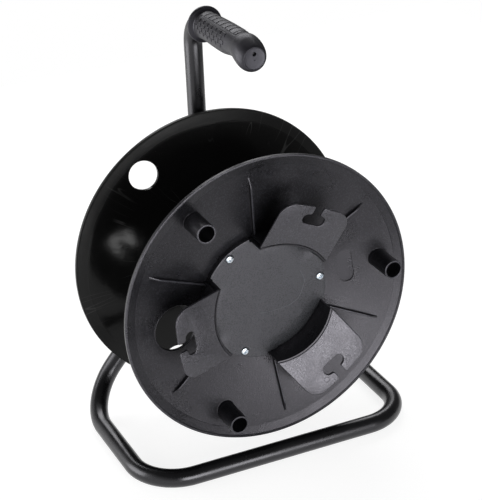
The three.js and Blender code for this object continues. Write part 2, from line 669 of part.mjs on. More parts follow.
// One tube: from the grip to the mast, down it, round the base and up to the mast again. It is cut in
// two short of its end, so that the end can be joined to the mast that it meets.
function frameRoutes() {
  const joint = new THREE.Vector3(0, MAST_Y, AXLE_Z + LEG_JOINT_RISE);
  const leftFoot = new THREE.Vector3(-SIDE_X, MAST_Y, BASE_Z);
  const splice = leftFoot.clone().sub(joint).setLength(LEG_SPLICE_LENGTH).add(joint);
  const route = TubeRoute.through([
    handlePoint(HANDLE_BEND_RADIUS + GRIP_LENGTH - GRIP_CAP),
    new THREE.Vector3(0, MAST_Y, HANDLE_Z),
    joint,
    new THREE.Vector3(SIDE_X, MAST_Y, BASE_Z),
    new THREE.Vector3(SIDE_X, -MAST_Y, BASE_Z),
    new THREE.Vector3(-SIDE_X, -MAST_Y, BASE_Z),
    leftFoot,
    splice,
  ], [
    HANDLE_BEND_RADIUS,
    LEG_BEND_RADIUS,
    REAR_BEND_RADIUS,
    FRONT_BEND_RADIUS,
    FRONT_BEND_RADIUS,
    REAR_BEND_RADIUS,
  ]);
  const last = route.stations[route.steps];
  return [route, new TubeRoute([last, { ...last, point: joint }])];
}

// A round section run along a route, with one flat along the underside of the base
function swept(route, radius, sides, down) {
  const shape = new THREE.Shape(Array.from({ length: sides }, (_, i) => {
    const angle = down + ((i + 0.5) * Math.PI * 2) / sides;
    return new THREE.Vector2(radius * Math.cos(angle), radius * Math.sin(angle));
  }));
  return solid(new THREE.ExtrudeGeometry(shape, { steps: route.steps, extrudePath: route, bevelEnabled: false }));
}

function frameTube() {
  const [route, end] = frameRoutes();
  const lowest = route.stations.reduce((low, station) => (station.point.z < low.point.z ? station : low));
  const down = Math.atan2(-lowest.binormal.z, -lowest.normal.z);
  const tube = swept(route, TUBE_RADIUS, TUBE_SIDES, down).add(swept(end, TUBE_RADIUS, TUBE_SIDES, down));
  const [first, ...others] = route.stations;
  const mouth = { ...first, point: first.point.clone().addScaledVector(first.tangent, -CUT_OVERRUN) };
  const boreRadius = TUBE_RADIUS - TUBE_WALL;
  const bore = swept(new TubeRoute([mouth, ...others]), boreRadius, BORE_SIDES, down);
  return cut(tube, [bore, swept(end, boreRadius, BORE_SIDES, down)]);
}

// The grip from its collar to its end: shares of its length, of its radius and of its droop
const GRIP_SHARES = [
  [0, 1.14, 0], [0.012, 1.25, 0], [0.034, 1.25, 0], [0.05, 1.05, 0], [0.075, 0.95, 0], [0.21, 0.955, -0.1],
  [0.34, 0.99, -0.1], [0.46, 1.01, -0.1], [0.56, 1, -0.15], [0.65, 0.955, -0.38], [0.73, 0.925, -0.4],
  [0.79, 0.96, -0.32], [0.84, 1.04, -0.15], [0.895, 1.07, 0.3], [0.935, 1.04, 0.7], [0.965, 0.97, 0.92],
  [0.987, 0.88, 1], [1, 0.79, 1],
];

function gripDroop(y) {
  const place = -y / GRIP_LENGTH;
  const next = Math.max(1, GRIP_SHARES.findIndex(([share]) => share >= place - MERGE_DISTANCE));
  const [[fromShare, , fromDroop], [toShare, , toDroop]] = [GRIP_SHARES[next - 1], GRIP_SHARES[next]];
  return GRIP_DROOP * THREE.MathUtils.mapLinear(place, fromShare, toShare, fromDroop, toDroop);
}

// The grip from y = 0 at its collar to its closed front end
function handleGrip() {
  const outline = GRIP_SHARES.map(([place, radius]) => [GRIP_RADIUS * radius, -GRIP_LENGTH * place]);
  const points = [[0, 0], ...outline, [0, -GRIP_LENGTH]].map(([radius, y]) => new THREE.Vector2(radius, y));
  const skin = new THREE.LatheGeometry(points, HOLE_SIDES);
  const places = skin.attributes.position;
  for (let i = 0; i < places.count; i += 1) places.setZ(i, places.getZ(i) - gripDroop(places.getY(i)));
  const bore = bar(holeRadius(TUBE_RADIUS, FIT_GAP, HOLE_SIDES), GRIP_CAP - GRIP_LENGTH, CUT_OVERRUN, HOLE_SIDES);
  const hole = bar(GRIP_HOLE_RADIUS, -GRIP_LENGTH - CUT_OVERRUN, CUT_OVERRUN - GRIP_LENGTH + GRIP_CAP, SCREW_SIDES);
  return cut(solid(skin), [bore, hole.translate([0, 0, GRIP_HOLE_RISE - GRIP_DROOP])]);
}

// Finishes
const finish = (color, roughness, metalness) => new THREE.MeshStandardMaterial({ color, roughness, metalness });
const flangeFinish = () => finish(0x3f3e42, 0.55, 0);
const rearFlangeFinish = () => finish(0x17171a, 0.3, 0);
const coreFinish = () => finish(0x1c1c1f, 0.5, 0);
const coverFinish = () => finish(0x515355, 0.7, 0);
const catchFinish = () => finish(0x4c4b50, 0.6, 0);
const tubeFinish = () => finish(0x141415, 0.35, 0.2);
const gripFinish = () => finish(0x3c3c41, 0.75, 0);
const zincFinish = () => finish(0xb9bec2, 0.3, 0.9);
const steelFinish = () => finish(0x83868a, 0.35, 0.9);
const bushFinish = () => finish(0xd8d6cc, 0.5, 0);

function piece(name, body, material) {
  const mesh = new THREE.Mesh(geometryOf(body), material);
  mesh.name = name;
  return mesh;
}

const numbered = (name, angles, build, material) => angles
  .map((angle, index) => piece(`${name}_${index + 1}`, build(angle), material()));

// Everything that turns about the axle
function drum() {
  const group = new THREE.Group();
  group.position.z = AXLE_Z;
  group.add(
    piece('front_flange', frontFlange(), flangeFinish()),
    piece('rear_flange', rearFlange(), rearFlangeFinish()),
    piece('core_barrel', coreBarrel(), coreFinish()),
    piece('hub_cover', hubCover(), coverFinish()),
    piece('front_bush', bush().translate([0, FRONT_BUSH_Y, 0]), bushFinish()),
    piece('rear_bush', mirrored(bush()).translate([0, REAR_BUSH_Y, 0]), bushFinish()),
    ...numbered('cable_catch', CATCH_ANGLES, cableCatch, catchFinish),
    ...numbered('cover_screw', STUB_ANGLES, coverScrew, zincFinish),
    ...numbered('front_flange_screw', CATCH_ANGLES, flangeScrew, zincFinish),
    ...numbered('rear_flange_screw', STUB_ANGLES, (angle) => mirrored(flangeScrew(angle)), zincFinish),
  );
  return group;
}

// The fixed pieces on the axle
function axleSet() {
  const group = new THREE.Group();
  group.position.z = AXLE_Z;
  group.add(
    piece('axle_plate', axlePlate(), tubeFinish()),
    piece('spindle', spindle(), steelFinish()),
    piece('rear_thrust_washer', washer(REAR_WASHER_Y), zincFinish()),
    piece('front_thrust_washer', washer(FRONT_WASHER_Y), zincFinish()),
    piece('spindle_nut', spindleNut(), zincFinish()),
  );
  return group;
}

function grip() {
  const group = new THREE.Group();
  group.position.copy(handlePoint(HANDLE_BEND_RADIUS + FIT_GAP));
  group.rotation.x = -radians(HANDLE_RAKE);
  group.add(piece('handle_grip', handleGrip(), gripFinish()));
  return group;
}

const cableDrum = new THREE.Group();
cableDrum.name = 'cable_drum';
cableDrum.add(piece('frame_tube', frameTube(), tubeFinish()), axleSet(), grip(), drum());

export default cableDrum;
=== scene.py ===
"""Looks of an empty cable drum that turns on a bent tube frame.

The drum's axis runs along Y and the front faces -Y. The classes hold their sizes in millimetres
and degrees; the meshes are in metres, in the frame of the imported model. The studio's sizes are in
metres. The corners of an outline have two places and the length that the corner's rounding takes
of each side, at most ROUNDING_LIMIT of it.
"""
import json
import logging
import math
from abc import ABC, abstractmethod
from collections.abc import Callable, Iterable, Mapping, Sequence
from dataclasses import dataclass, field
from enum import Enum
from typing import Any, NamedTuple

import bmesh
import bpy
from bpy.types import Node, NodeSocket, Object
from mathutils import Matrix, Vector


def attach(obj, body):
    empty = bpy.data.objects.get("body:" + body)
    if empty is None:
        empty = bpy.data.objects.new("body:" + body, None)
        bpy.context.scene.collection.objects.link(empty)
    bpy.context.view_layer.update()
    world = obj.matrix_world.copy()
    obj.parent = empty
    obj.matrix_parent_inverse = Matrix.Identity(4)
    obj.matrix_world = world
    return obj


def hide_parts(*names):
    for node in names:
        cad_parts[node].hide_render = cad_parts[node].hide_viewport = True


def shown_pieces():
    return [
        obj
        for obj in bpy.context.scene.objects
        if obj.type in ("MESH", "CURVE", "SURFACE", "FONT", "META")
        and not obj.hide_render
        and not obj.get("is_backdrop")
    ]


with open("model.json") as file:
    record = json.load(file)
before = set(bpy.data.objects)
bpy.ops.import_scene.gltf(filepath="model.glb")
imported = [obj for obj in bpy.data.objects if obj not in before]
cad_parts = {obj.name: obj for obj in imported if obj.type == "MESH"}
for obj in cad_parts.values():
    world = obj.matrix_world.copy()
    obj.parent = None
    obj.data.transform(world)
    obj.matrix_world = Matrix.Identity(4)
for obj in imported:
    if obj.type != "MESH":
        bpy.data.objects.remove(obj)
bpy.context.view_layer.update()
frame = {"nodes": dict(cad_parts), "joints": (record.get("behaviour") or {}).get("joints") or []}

Flat = tuple[float, float]
Place = tuple[float, float, float]
Colour = tuple[int, int, int]
Corner = tuple[float, float, float]

MM = 0.001
AXLE_Z = frame["joints"][0]["pos_m"][2] / MM
AXLE = (0.0, 0.0)
THIRD = 120.0
THIRDS = (0.0, THIRD, 2 * THIRD)
ROUNDING_LIMIT = 0.45
ON_AXIS = 1e-6
SAME_PLACE = 1e-7
WHITE = (1.0, 1.0, 1.0, 1.0)
log = logging.getLogger("cable_drum")


class Body(Enum):
    """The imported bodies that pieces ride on."""

    FRAME = "frame"
    DRUM = "drum"


class Facing(Enum):
    """The side that a turned or repeated piece looks to."""

    FRONT = 0.0
    REAR = 180.0


# ---------------------------------------------------------------------------------------------
# Outlines and shells, in millimetres
# ---------------------------------------------------------------------------------------------


@dataclass
class Shell:
    """A surface in millimetres, before it becomes a mesh."""

    points: list[Place] = field(default_factory=list)
    faces: list[tuple[int, ...]] = field(default_factory=list)

    def bent(self, rule: Callable[[Place], Place]) -> "Shell":
        """The shell with each of its points moved by a rule."""
        return Shell([rule(point) for point in self.points], list(self.faces))

    def moved(self, dx: float = 0.0, dy: float = 0.0, dz: float = 0.0) -> "Shell":
        """The shell at another place."""
        return self.bent(lambda p: (p[0] + dx, p[1] + dy, p[2] + dz))

    def placed(self, move: Matrix) -> "Shell":
        """The shell carried over by a matrix."""
        return self.bent(lambda p: tuple(move @ Vector(p)))


def arc(centre: Flat, radius: float, start: float, end: float, steps: int) -> list[Flat]:
    """Points along an arc.

    Args:
        centre: The middle of the arc.
        radius: Its radius.
        start: The angle in degrees at which it starts.
        end: The angle in degrees at which it ends.
        steps: How many chords it has.

    Returns:
        The points from the start to the end.
    """
    turns = [math.radians(start + (end - start) * i / steps) for i in range(steps + 1)]
    return [(centre[0] + radius * math.cos(t), centre[1] + radius * math.sin(t)) for t in turns]


def circle(radius: float, sides: int) -> list[Flat]:
    """Points round a circle about the origin."""
    return arc(AXLE, radius, 0.0, 360.0, sides)[:-1]


def softened(corners: Sequence[Corner], steps: int = 4) -> list[Flat]:
    """A closed outline whose corners are rounded.

    Args:
        corners: The corners.
        steps: How many chords each rounding has.

    Returns:
        The points of the outline.
    """
    outline: list[Flat] = []
    for i, (x, y, reach) in enumerate(corners):
        corner = Vector((x, y))
        before = Vector(corners[i - 1][:2]) - corner
        after = Vector(corners[(i + 1) % len(corners)][:2]) - corner
        reach = min(reach, before.length * ROUNDING_LIMIT, after.length * ROUNDING_LIMIT)
        if reach <= 0:
            outline.append((x, y))
            continue
        start = corner + before.normalized() * reach
        end = corner + after.normalized() * reach
        for step in range(steps + 1):
            t = step / steps
            point = start * (1 - t) ** 2 + corner * (2 * t * (1 - t)) + end * t**2
            outline.append((point.x, point.y))
    return outline


def smooth_line(knots: Sequence[Sequence[float]], steps: int) -> list[tuple[float, ...]]:
    """A smooth line through knots.

    Args:
        knots: The places that the line passes, all with as many numbers.
        steps: How many stretches there are from one knot to the next.

    Returns:
        The points of the line.
    """
    line: list[tuple[float, ...]] = []
    last = len(knots) - 1
    for i in range(last):
        a, b, c, d = (knots[min(max(j, 0), last)] for j in (i - 1, i, i + 1, i + 2))
        for t in (step / steps for step in range(steps)):
            line.append(tuple(
                0.5 * (2 * q + (r - p) * t + (2 * p - 5 * q + 4 * r - s) * t**2
                       + (3 * q - p - 3 * r + s) * t**3)
                for p, q, r, s in zip(a, b, c, d)
            ))
    return [*line, tuple(float(value) for value in knots[last])]


def bridged(first: Sequence[int], second: Sequence[int]) -> list[tuple[int, ...]]:
    """The faces between two rings of as many points, of which either may be a single pole.

    Args:
        first: The numbers of the first ring's points.
        second: Those of the second ring.

    Returns:
        The faces.
    """
    faces = []
    for i, a in enumerate(first):
        j = (i + 1) % len(first)
        faces.append(tuple(dict.fromkeys((a, first[j], second[j], second[i]))))
    return [face for face in faces if len(face) > 2]


def turned(outline: Sequence[Flat], sides: int, closed: bool = True) -> Shell:
    """An outline of radii and places along Y, turned about the Y axis.

    Args:
        outline: The radii and places.
        sides: How many facets go round.
        closed: Whether the outline's end joins its start. One that starts and ends on the axis
            is closed by its poles.

    Returns:
        The turned shell.
    """
    shell = Shell()
    rings: list[list[int]] = []
    for radius, y in outline:
        start = len(shell.points)
        if abs(radius) < ON_AXIS:
            shell.points.append((0.0, y, 0.0))
            rings.append([start] * sides)
            continue
        shell.points += [(x, y, z) for x, z in circle(radius, sides)]
        rings.append(list(range(start, start + sides)))
    for first, second in zip(rings, rings[1:] + rings[:closed]):
        shell.faces += bridged(first, second)
    return shell


def lofted(sections: Sequence[Sequence[Place]], joined: bool = False) -> Shell:
    """A shell through closed sections.

    Args:
        sections: The sections' points, as many in each.
        joined: Whether the last section joins the first. Otherwise each end has a cap.

    Returns:
        The closed shell.
    """
    shell = Shell([tuple(point) for section in sections for point in section])
    size = len(sections[0])
    rings = [range(i * size, (i + 1) * size) for i in range(len(sections))]
    for first, second in zip(rings, rings[1:] + rings[:joined]):
        shell.faces += bridged(first, second)
    if not joined:
        shell.faces += [tuple(rings[0]), tuple(reversed(rings[-1]))]
    return shell


def curved(half_angle: float, steps: int, profile: Callable[[float], Sequence[Flat]]) -> Shell:
    """A wall that runs round +X at the axle's height.

    Args:
        half_angle: The angle in degrees from its middle to either end.
        steps: How many stretches it has.
        profile: Gives its section, as radii and places along Y, for the cosine of an angle.

    Returns:
        The closed shell.
    """
    return lofted([[(radius * x, y, radius * z) for radius, y in profile(x)]
                   for x, z in arc(AXLE, 1.0, -half_angle, half_angle, steps)])


def rod(radius: float, start: float, end: float, sides: int) -> Shell:
    """A round rod along the Y axis."""
    return turned([(0.0, start), (radius, start), (radius, end), (0.0, end)], sides, closed=False)


def slab(outline: Sequence[Flat], front: Callable[[Flat], float],
         back: Callable[[Flat], float]) -> Shell:
    """A plate between two faces that look along Y.

    Args:
        outline: The plate's edge, as places along X and Z.
        front: The place along Y of the front face at a point of the edge.
        back: The same for the back face.

    Returns:
        The closed shell.
    """
    return lofted([[(u, side((u, v)), v) for u, v in outline] for side in (front, back)])


# ---------------------------------------------------------------------------------------------
# Meshes and pieces
# ---------------------------------------------------------------------------------------------


def shown(name: str, data: bpy.types.ID) -> Object:
    """A new object in the scene that holds a mesh, a lamp or a camera.

    Args:
        name: The object's name.
        data: The mesh, the lamp or the camera.

    Returns:
        The object.
    """
    piece = bpy.data.objects.new(name, data)
    bpy.context.scene.collection.objects.link(piece)
    return piece


def meshed(name: str, shell: Shell, about_axle: bool = True) -> Object:
    """A shell as an object with its faces outwards.

    Args:
        name: The object's name.
        shell: The shell, in millimetres.
        about_axle: Whether the shell's heights are counted from the axle.

    Returns:
        The new object, in metres.
    """
    lift = AXLE_Z if about_axle else 0.0
    mesh = bpy.data.meshes.new(name)
    mesh.from_pydata([(x * MM, y * MM, (z + lift) * MM) for x, y, z in shell.points], [], shell.faces)
    work = bmesh.new()
    work.from_mesh(mesh)
    bmesh.ops.remove_doubles(work, verts=work.verts, dist=SAME_PLACE)
    bmesh.ops.recalc_face_normals(work, faces=work.faces)
    work.to_mesh(mesh)
    work.free()
    return shown(name, mesh)


def strung(name: str, points: Iterable[Place]) -> Object:
    """A line of points in millimetres as an object of joined edges, in metres.

    Args:
        name: The object's name.
        points: The points of the line.

    Returns:
        The object.
    """
    places = [(x * MM, y * MM, z * MM) for x, y, z in points]
    mesh = bpy.data.meshes.new(name)
    mesh.from_pydata(places, [(i, i + 1) for i in range(len(places) - 1)], [])
    return shown(name, mesh)


def settled(piece: Object, name: str | None = None) -> Object:
    """The piece with its modifiers carried out on its mesh, under its own or another name.

    Args:
        piece: The piece.
        name: Its new name, where it takes one.

    Returns:
        The piece.
    """
    graph = bpy.context.evaluated_depsgraph_get()
    mesh = bpy.data.meshes.new_from_object(piece.evaluated_get(graph), depsgraph=graph)
    piece.modifiers.clear()
    if name is None or name == piece.name:
        piece.data = mesh
        return piece
    bpy.data.objects.remove(piece)
    return shown(name, mesh)


def pierced(piece: Object, tools: Sequence[Object]) -> Object:
    """The piece with tools cut out of it; the tools are used up.

    Args:
        piece: The piece.
        tools: The tools.

    Returns:
        The same piece.
    """
    for tool in tools:
        modifier = piece.modifiers.new("cut", "BOOLEAN")
        modifier.operation = "DIFFERENCE"
        modifier.solver = "EXACT"
        modifier.object = tool
    settled(piece)
    for tool in tools:
        bpy.data.objects.remove(tool)
    return piece


def eased(piece: Object, width: float, segments: int = 3, angle: float = 35.0) -> Object:
    """The piece with its sharp edges rounded.

    Args:
        piece: The piece.
        width: The rounding's width in millimetres.
        segments: How many faces cross the rounding.
        angle: The angle in degrees above which an edge is sharp.

    Returns:
        The same piece.
    """
    modifier = piece.modifiers.new("edge", "BEVEL")
    modifier.width = width * MM
    modifier.segments = segments
    modifier.limit_method = "ANGLE"
    modifier.angle_limit = math.radians(angle)
    modifier.use_clamp_overlap = True
    return settled(piece)


def united(name: str, parts: Sequence[Object]) -> Object:
    """Several objects as one; the objects are used up.

    Args:
        name: The name of the whole.
        parts: The objects.

    Returns:
        The whole.
    """
    work = bmesh.new()
    for part in parts:
        work.from_mesh(part.data)
        bpy.data.objects.remove(part)
    mesh = bpy.data.meshes.new(name)
    work.to_mesh(mesh)
    work.free()
    return shown(name, mesh)


def dressed(piece: Object, finish: "Finish", body: Body, nodes: Sequence[str], crease: float = 40.0,
            second: "Finish | None" = None) -> Object:
    """Gives a piece its finish and its place in the model.

    Args:
        piece: The finished mesh.
        finish: The finish of its faces.
        body: The body that it moves with.
        nodes: The solids that it stands for.
        crease: The angle in degrees above which an edge stays sharp.
        second: The finish of the faces that are marked for a second one.

    Returns:
        The same piece.
    """
    piece.data.materials.clear()
    for coat in filter(None, (finish, second)):
        piece.data.materials.append(coat.material())
    piece.data.shade_smooth()
    piece.data.set_sharp_from_angle(angle=math.radians(crease))
    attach(piece, body.value)
    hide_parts(*nodes)
    return piece


# ---------------------------------------------------------------------------------------------
# Node trees
# ---------------------------------------------------------------------------------------------


class Sketch:
    """A node tree that is written one node at a time."""

    def __init__(self, tree: bpy.types.NodeTree) -> None:
        """Starts from a tree."""
        self.tree = tree

    def fill(self, node: Node, inputs: Mapping[int | str, Any]) -> None:
        """Gives a node its inputs.

        Args:
            node: The node.
            inputs: For each input, a value, a socket, or a node whose first output is meant.
        """
        for key, source in inputs.items():
            if isinstance(source, Node):
                source = source.outputs[0]
            if isinstance(source, NodeSocket):
                self.tree.links.new(source, node.inputs[key])
            else:
                node.inputs[key].default_value = source

    def add(self, kind: str, inputs: Mapping[int | str, Any] | None = None, **settings: Any) -> Node:
        """Adds a node.

        Args:
            kind: The node's type.
            inputs: Its inputs, as fill takes them.
            settings: The node's own settings.

        Returns:
            The new node.
        """
        node = self.tree.nodes.new(kind)
        for key, value in settings.items():
            setattr(node, key, value)
        self.fill(node, inputs or {})
        return node

    def maths(self, operation: str, *values: Any) -> NodeSocket:
        """The result of one step of arithmetic on numbers or sockets."""
        return self.add("ShaderNodeMath", dict(enumerate(values)), operation=operation).outputs[0]

    def times(self, first: Any, second: Any) -> NodeSocket:
        """The product of two numbers or sockets."""
        return self.maths("MULTIPLY", first, second)

    def vector_maths(self, operation: str, *values: Any) -> Node:
        """The node of one step of arithmetic on vectors."""
        return self.add("ShaderNodeVectorMath", dict(enumerate(values)), operation=operation)

    def vector(self, x: Any = 0.0, y: Any = 0.0, z: Any = 0.0) -> NodeSocket:
        """A vector of three numbers or sockets."""
        return self.add("ShaderNodeCombineXYZ", {0: x, 1: y, 2: z}).outputs[0]

    def parts(self, vector: Any) -> list[NodeSocket]:
        """The three parts of a vector."""
        return list(self.add("ShaderNodeSeparateXYZ", {0: vector}).outputs)

    def ranged(self, value: Any, low: float, high: float, to_low: float = 0.0,
               to_high: float = 1.0) -> NodeSocket:
        """A value of one range carried over to another, and held inside it."""
        inputs = {"Value": value, "From Min": low, "From Max": high, "To Min": to_low, "To Max": to_high}
        return self.add("ShaderNodeMapRange", inputs).outputs[0]

    def blended(self, share: Any, first: Any, second: Any) -> NodeSocket:
        """Two colours mixed by a share."""
        return self.add("ShaderNodeMix", {0: share, 6: first, 7: second}, data_type="RGBA").outputs[2]


class GrowingTree(Sketch):
    """A geometry tree with named inputs, which ends in real mesh with one material."""

    def __init__(self, name: str, inputs: Mapping[str, str]) -> None:
        """Makes the tree.

        Args:
            name: The tree's name.
            inputs: The name and the kind of each input after the geometry.
        """
        super().__init__(bpy.data.node_groups.new(name, "GeometryNodeTree"))
        self.keys = {
            title.replace(" ", "_"): self.socket(title, kind, "INPUT").identifier
            for title, kind in {"Geometry": "Geometry", **inputs, "Material": "Material"}.items()
        }
        self.socket("Geometry", "Geometry", "OUTPUT")
        self.given = self.add("NodeGroupInput").outputs

    def socket(self, title: str, kind: str, way: str) -> bpy.types.NodeTreeInterfaceSocket:
        """A new input or output of the tree."""
        return self.tree.interface.new_socket(name=title, in_out=way, socket_type="NodeSocket" + kind)

    def row(self) -> tuple[Node, NodeSocket]:
        """A point for each copy, and the copy's share of a whole turn.

        Returns:
            The points and the share.
        """
        count = self.given["Count"]
        points = self.add("GeometryNodeMeshLine", {"Count": count, "Offset": (0.0, 0.0, 0.0)})
        return points, self.maths("DIVIDE", self.add("GeometryNodeInputIndex"), count)

    def chance(self, low: Any, high: Any) -> NodeSocket:
        """A random number for each point, from the tree's seed."""
        inputs = {2: low, 3: high, "Seed": self.given["Seed"]}
        return self.add("FunctionNodeRandomValue", inputs, data_type="FLOAT").outputs[1]

    def planted(self, points: Any, instance: Any, **pose: Any) -> Node:
        """Copies of an instance on points."""
        return self.add("GeometryNodeInstanceOnPoints", {"Points": points, "Instance": instance, **pose})

    def end(self, grown: Any) -> None:
        """Ends the tree in Realize Instances and Set Material.

        Args:
            grown: What the tree has grown.
        """
        real = self.add("GeometryNodeRealizeInstances", {"Geometry": grown})
        material = self.given["Material"]
        coated = self.add("GeometryNodeSetMaterial", {"Geometry": real, "Material": material})
        self.add("NodeGroupOutput", {0: coated})

    def grow(self, seed: Object, name: str, finish: "Finish", **values: Any) -> Object:
        """Runs the tree on an object.

        Args:
            seed: The object that the tree starts from, which is used up.
            name: The name of what is grown.
            finish: Its finish.
            values: The named inputs, with underscores for spaces.

        Returns:
            The grown piece, as plain mesh.
        """
        modifier = seed.modifiers.new("grown", "NODES")
        modifier.node_group = self.tree
        for key, value in {"Material": finish.material(), **values}.items():
            modifier[self.keys[key]] = value
        return settled(seed, name + "_grown")


class RingTree(GrowingTree):
    """Copies of a piece round the axle. The piece is made round +X, with the axle at its origin."""

    def __init__(self) -> None:
        """Wires the tree."""
        super().__init__("round_the_axle", {"Count": "Int", "First Angle": "Float", "Axle Height": "Float"})
        row, share = self.row()
        lift = self.vector(z=self.given["Axle Height"])
        hub = self.add("GeometryNodeSetPosition", {"Geometry": row, "Offset": lift})
        turn = self.maths("MULTIPLY_ADD", share, -math.tau, self.times(self.given["First Angle"], -1.0))
        self.end(self.planted(hub, self.given["Geometry"], Rotation=self.vector(y=turn)))

    def ring(self, seed: Shell | Object, name: str, finish: "Finish", count: int, first: float) -> Object:
        """Grows copies of a piece round the axle.

        Args:
            seed: The piece round +X, as a shell or an object.
            name: The name of the grown piece.
            finish: Its finish.
            count: How many copies go round.
            first: The first copy's angle in degrees.

        Returns:
            The grown piece.
        """
        if isinstance(seed, Shell):
            seed = meshed(name, seed, about_axle=False)
        return self.grow(seed, name, finish, Count=count, First_Angle=math.radians(first),
                         Axle_Height=AXLE_Z * MM)


class ScrewTree(GrowingTree):
    """A circle of screws. Each is turned at random about itself, from a fixed seed."""

    def __init__(self) -> None:
        """Wires the tree."""
        super().__init__("screw_circle", {
            "Count": "Int", "First Angle": "Float", "Circle Radius": "Float", "Seat": "Float",
            "Axle Height": "Float", "Facing": "Float", "Seed": "Int",
        })
        given = self.given
        row, share = self.row()
        angle = self.maths("MULTIPLY_ADD", share, math.tau, given["First Angle"])
        across = self.times(self.maths("COSINE", angle), given["Circle Radius"])
        sine = self.maths("SINE", angle)
        up = self.maths("MULTIPLY_ADD", sine, given["Circle Radius"], given["Axle Height"])
        spot = self.vector(across, given["Seat"], up)
        seats = self.add("GeometryNodeSetPosition", {"Geometry": row, "Position": spot})
        spin = self.vector(given["Facing"], self.chance(0.0, math.pi))
        self.end(self.planted(seats, given["Geometry"], Rotation=spin))


class TubeTree(GrowingTree):
    """A round bar along a line of edges."""

    def __init__(self) -> None:
        """Wires the tree."""
        super().__init__("bar_on_a_line", {"Radius": "Float", "Sides": "Int"})
        path = self.add("GeometryNodeMeshToCurve", {0: self.given["Geometry"]})
        size = {"Resolution": self.given["Sides"], "Radius": self.given["Radius"]}
        ring = self.add("GeometryNodeCurvePrimitiveCircle", size)
        ends = {"Curve": path, "Profile Curve": ring, "Fill Caps": True}
        self.end(self.add("GeometryNodeCurveToMesh", ends))


class BeadTree(GrowingTree):
    """A weld: overlapping flat drops along a line of edges, of slightly uneven size."""

    DROP = {"Segments": 12, "Rings": 8}

    def __init__(self) -> None:
        """Wires the tree."""
        super().__init__("weld_bead", {
            "Radius": "Float", "Pitch": "Float", "Unevenness": "Float", "Seed": "Int",
        })
        given = self.given
        path = self.add("GeometryNodeMeshToCurve", {0: given["Geometry"]})
        along = {"Curve": path, "Length": given["Pitch"]}
        spots = self.add("GeometryNodeCurveToPoints", along, mode="LENGTH")
        drop = self.add("GeometryNodeMeshUVSphere", {**self.DROP, "Radius": given["Radius"]})
        least, most = (self.maths(way, 1.0, given["Unevenness"]) for way in ("SUBTRACT", "ADD"))
        self.end(self.planted(spots, drop, Rotation=spots.outputs["Rotation"],
                              Scale=self.chance(least, most)))


class WrapTree(GrowingTree):
    """Rows and columns of a flat pattern, wrapped round a bar that runs along Y.

    The flat pattern's X runs round the bar, its Y along the bar and its Z out of the skin. Each
    point looks for the skin from outside, so the pattern follows every swell of the bar.
    """

    REACH = 0.03

    def __init__(self) -> None:
        """Wires the tree."""
        super().__init__("wrapped_pattern", {
            "Skin": "Object", "Rows": "Int", "Columns": "Int", "Row Pitch": "Float",
            "Column Pitch": "Float", "Middle Angle": "Float", "Middle Place": "Float", "Bar Radius": "Float",
        })
        given = self.given
        width, length = (self.times(given[way + " Pitch"], self.maths("SUBTRACT", given[way + "s"], 1.0))
                         for way in ("Row", "Column"))
        grid = self.add("GeometryNodeMeshGrid", {
            "Size X": width, "Size Y": length, "Vertices X": given["Rows"], "Vertices Y": given["Columns"],
        })
        real = self.add("GeometryNodeRealizeInstances", {0: self.planted(grid, given["Geometry"])})
        x, y, z = self.parts(self.add("GeometryNodeInputPosition"))
        angle = self.maths("ADD", self.maths("DIVIDE", x, given["Bar Radius"]), given["Middle Angle"])
        out = self.vector(self.maths("SINE", angle), 0.0, self.maths("COSINE", angle))
        along = self.vector(y=self.maths("ADD", y, given["Middle Place"]))
        skin = self.add("GeometryNodeObjectInfo", {"Object": given["Skin"]})
        hit = self.add("GeometryNodeRaycast", {
            "Target Geometry": skin.outputs["Geometry"],
            "Source Position": self.vector_maths("MULTIPLY_ADD", out, (self.REACH,) * 3, along),
            "Ray Direction": self.vector_maths("MULTIPLY", out, (-1.0,) * 3),
            "Ray Length": self.REACH,
        })
        spot = self.vector_maths("MULTIPLY_ADD", out, self.vector(z, z, z), hit.outputs["Hit Position"])
        self.end(self.add("GeometryNodeSetPosition", {"Geometry": real, "Position": spot}))


class Noise(NamedTuple):
    """A cloudy noise: the size of its patches in millimetres, its finer layers and their strength."""

    size: float
    detail: float = 3.0
    rough: float = 0.55

    def of(self, grain: float) -> "Noise":
        """The noise for a grain, where its own size is counted in grains."""
        return self._replace(size=self.size * grain)


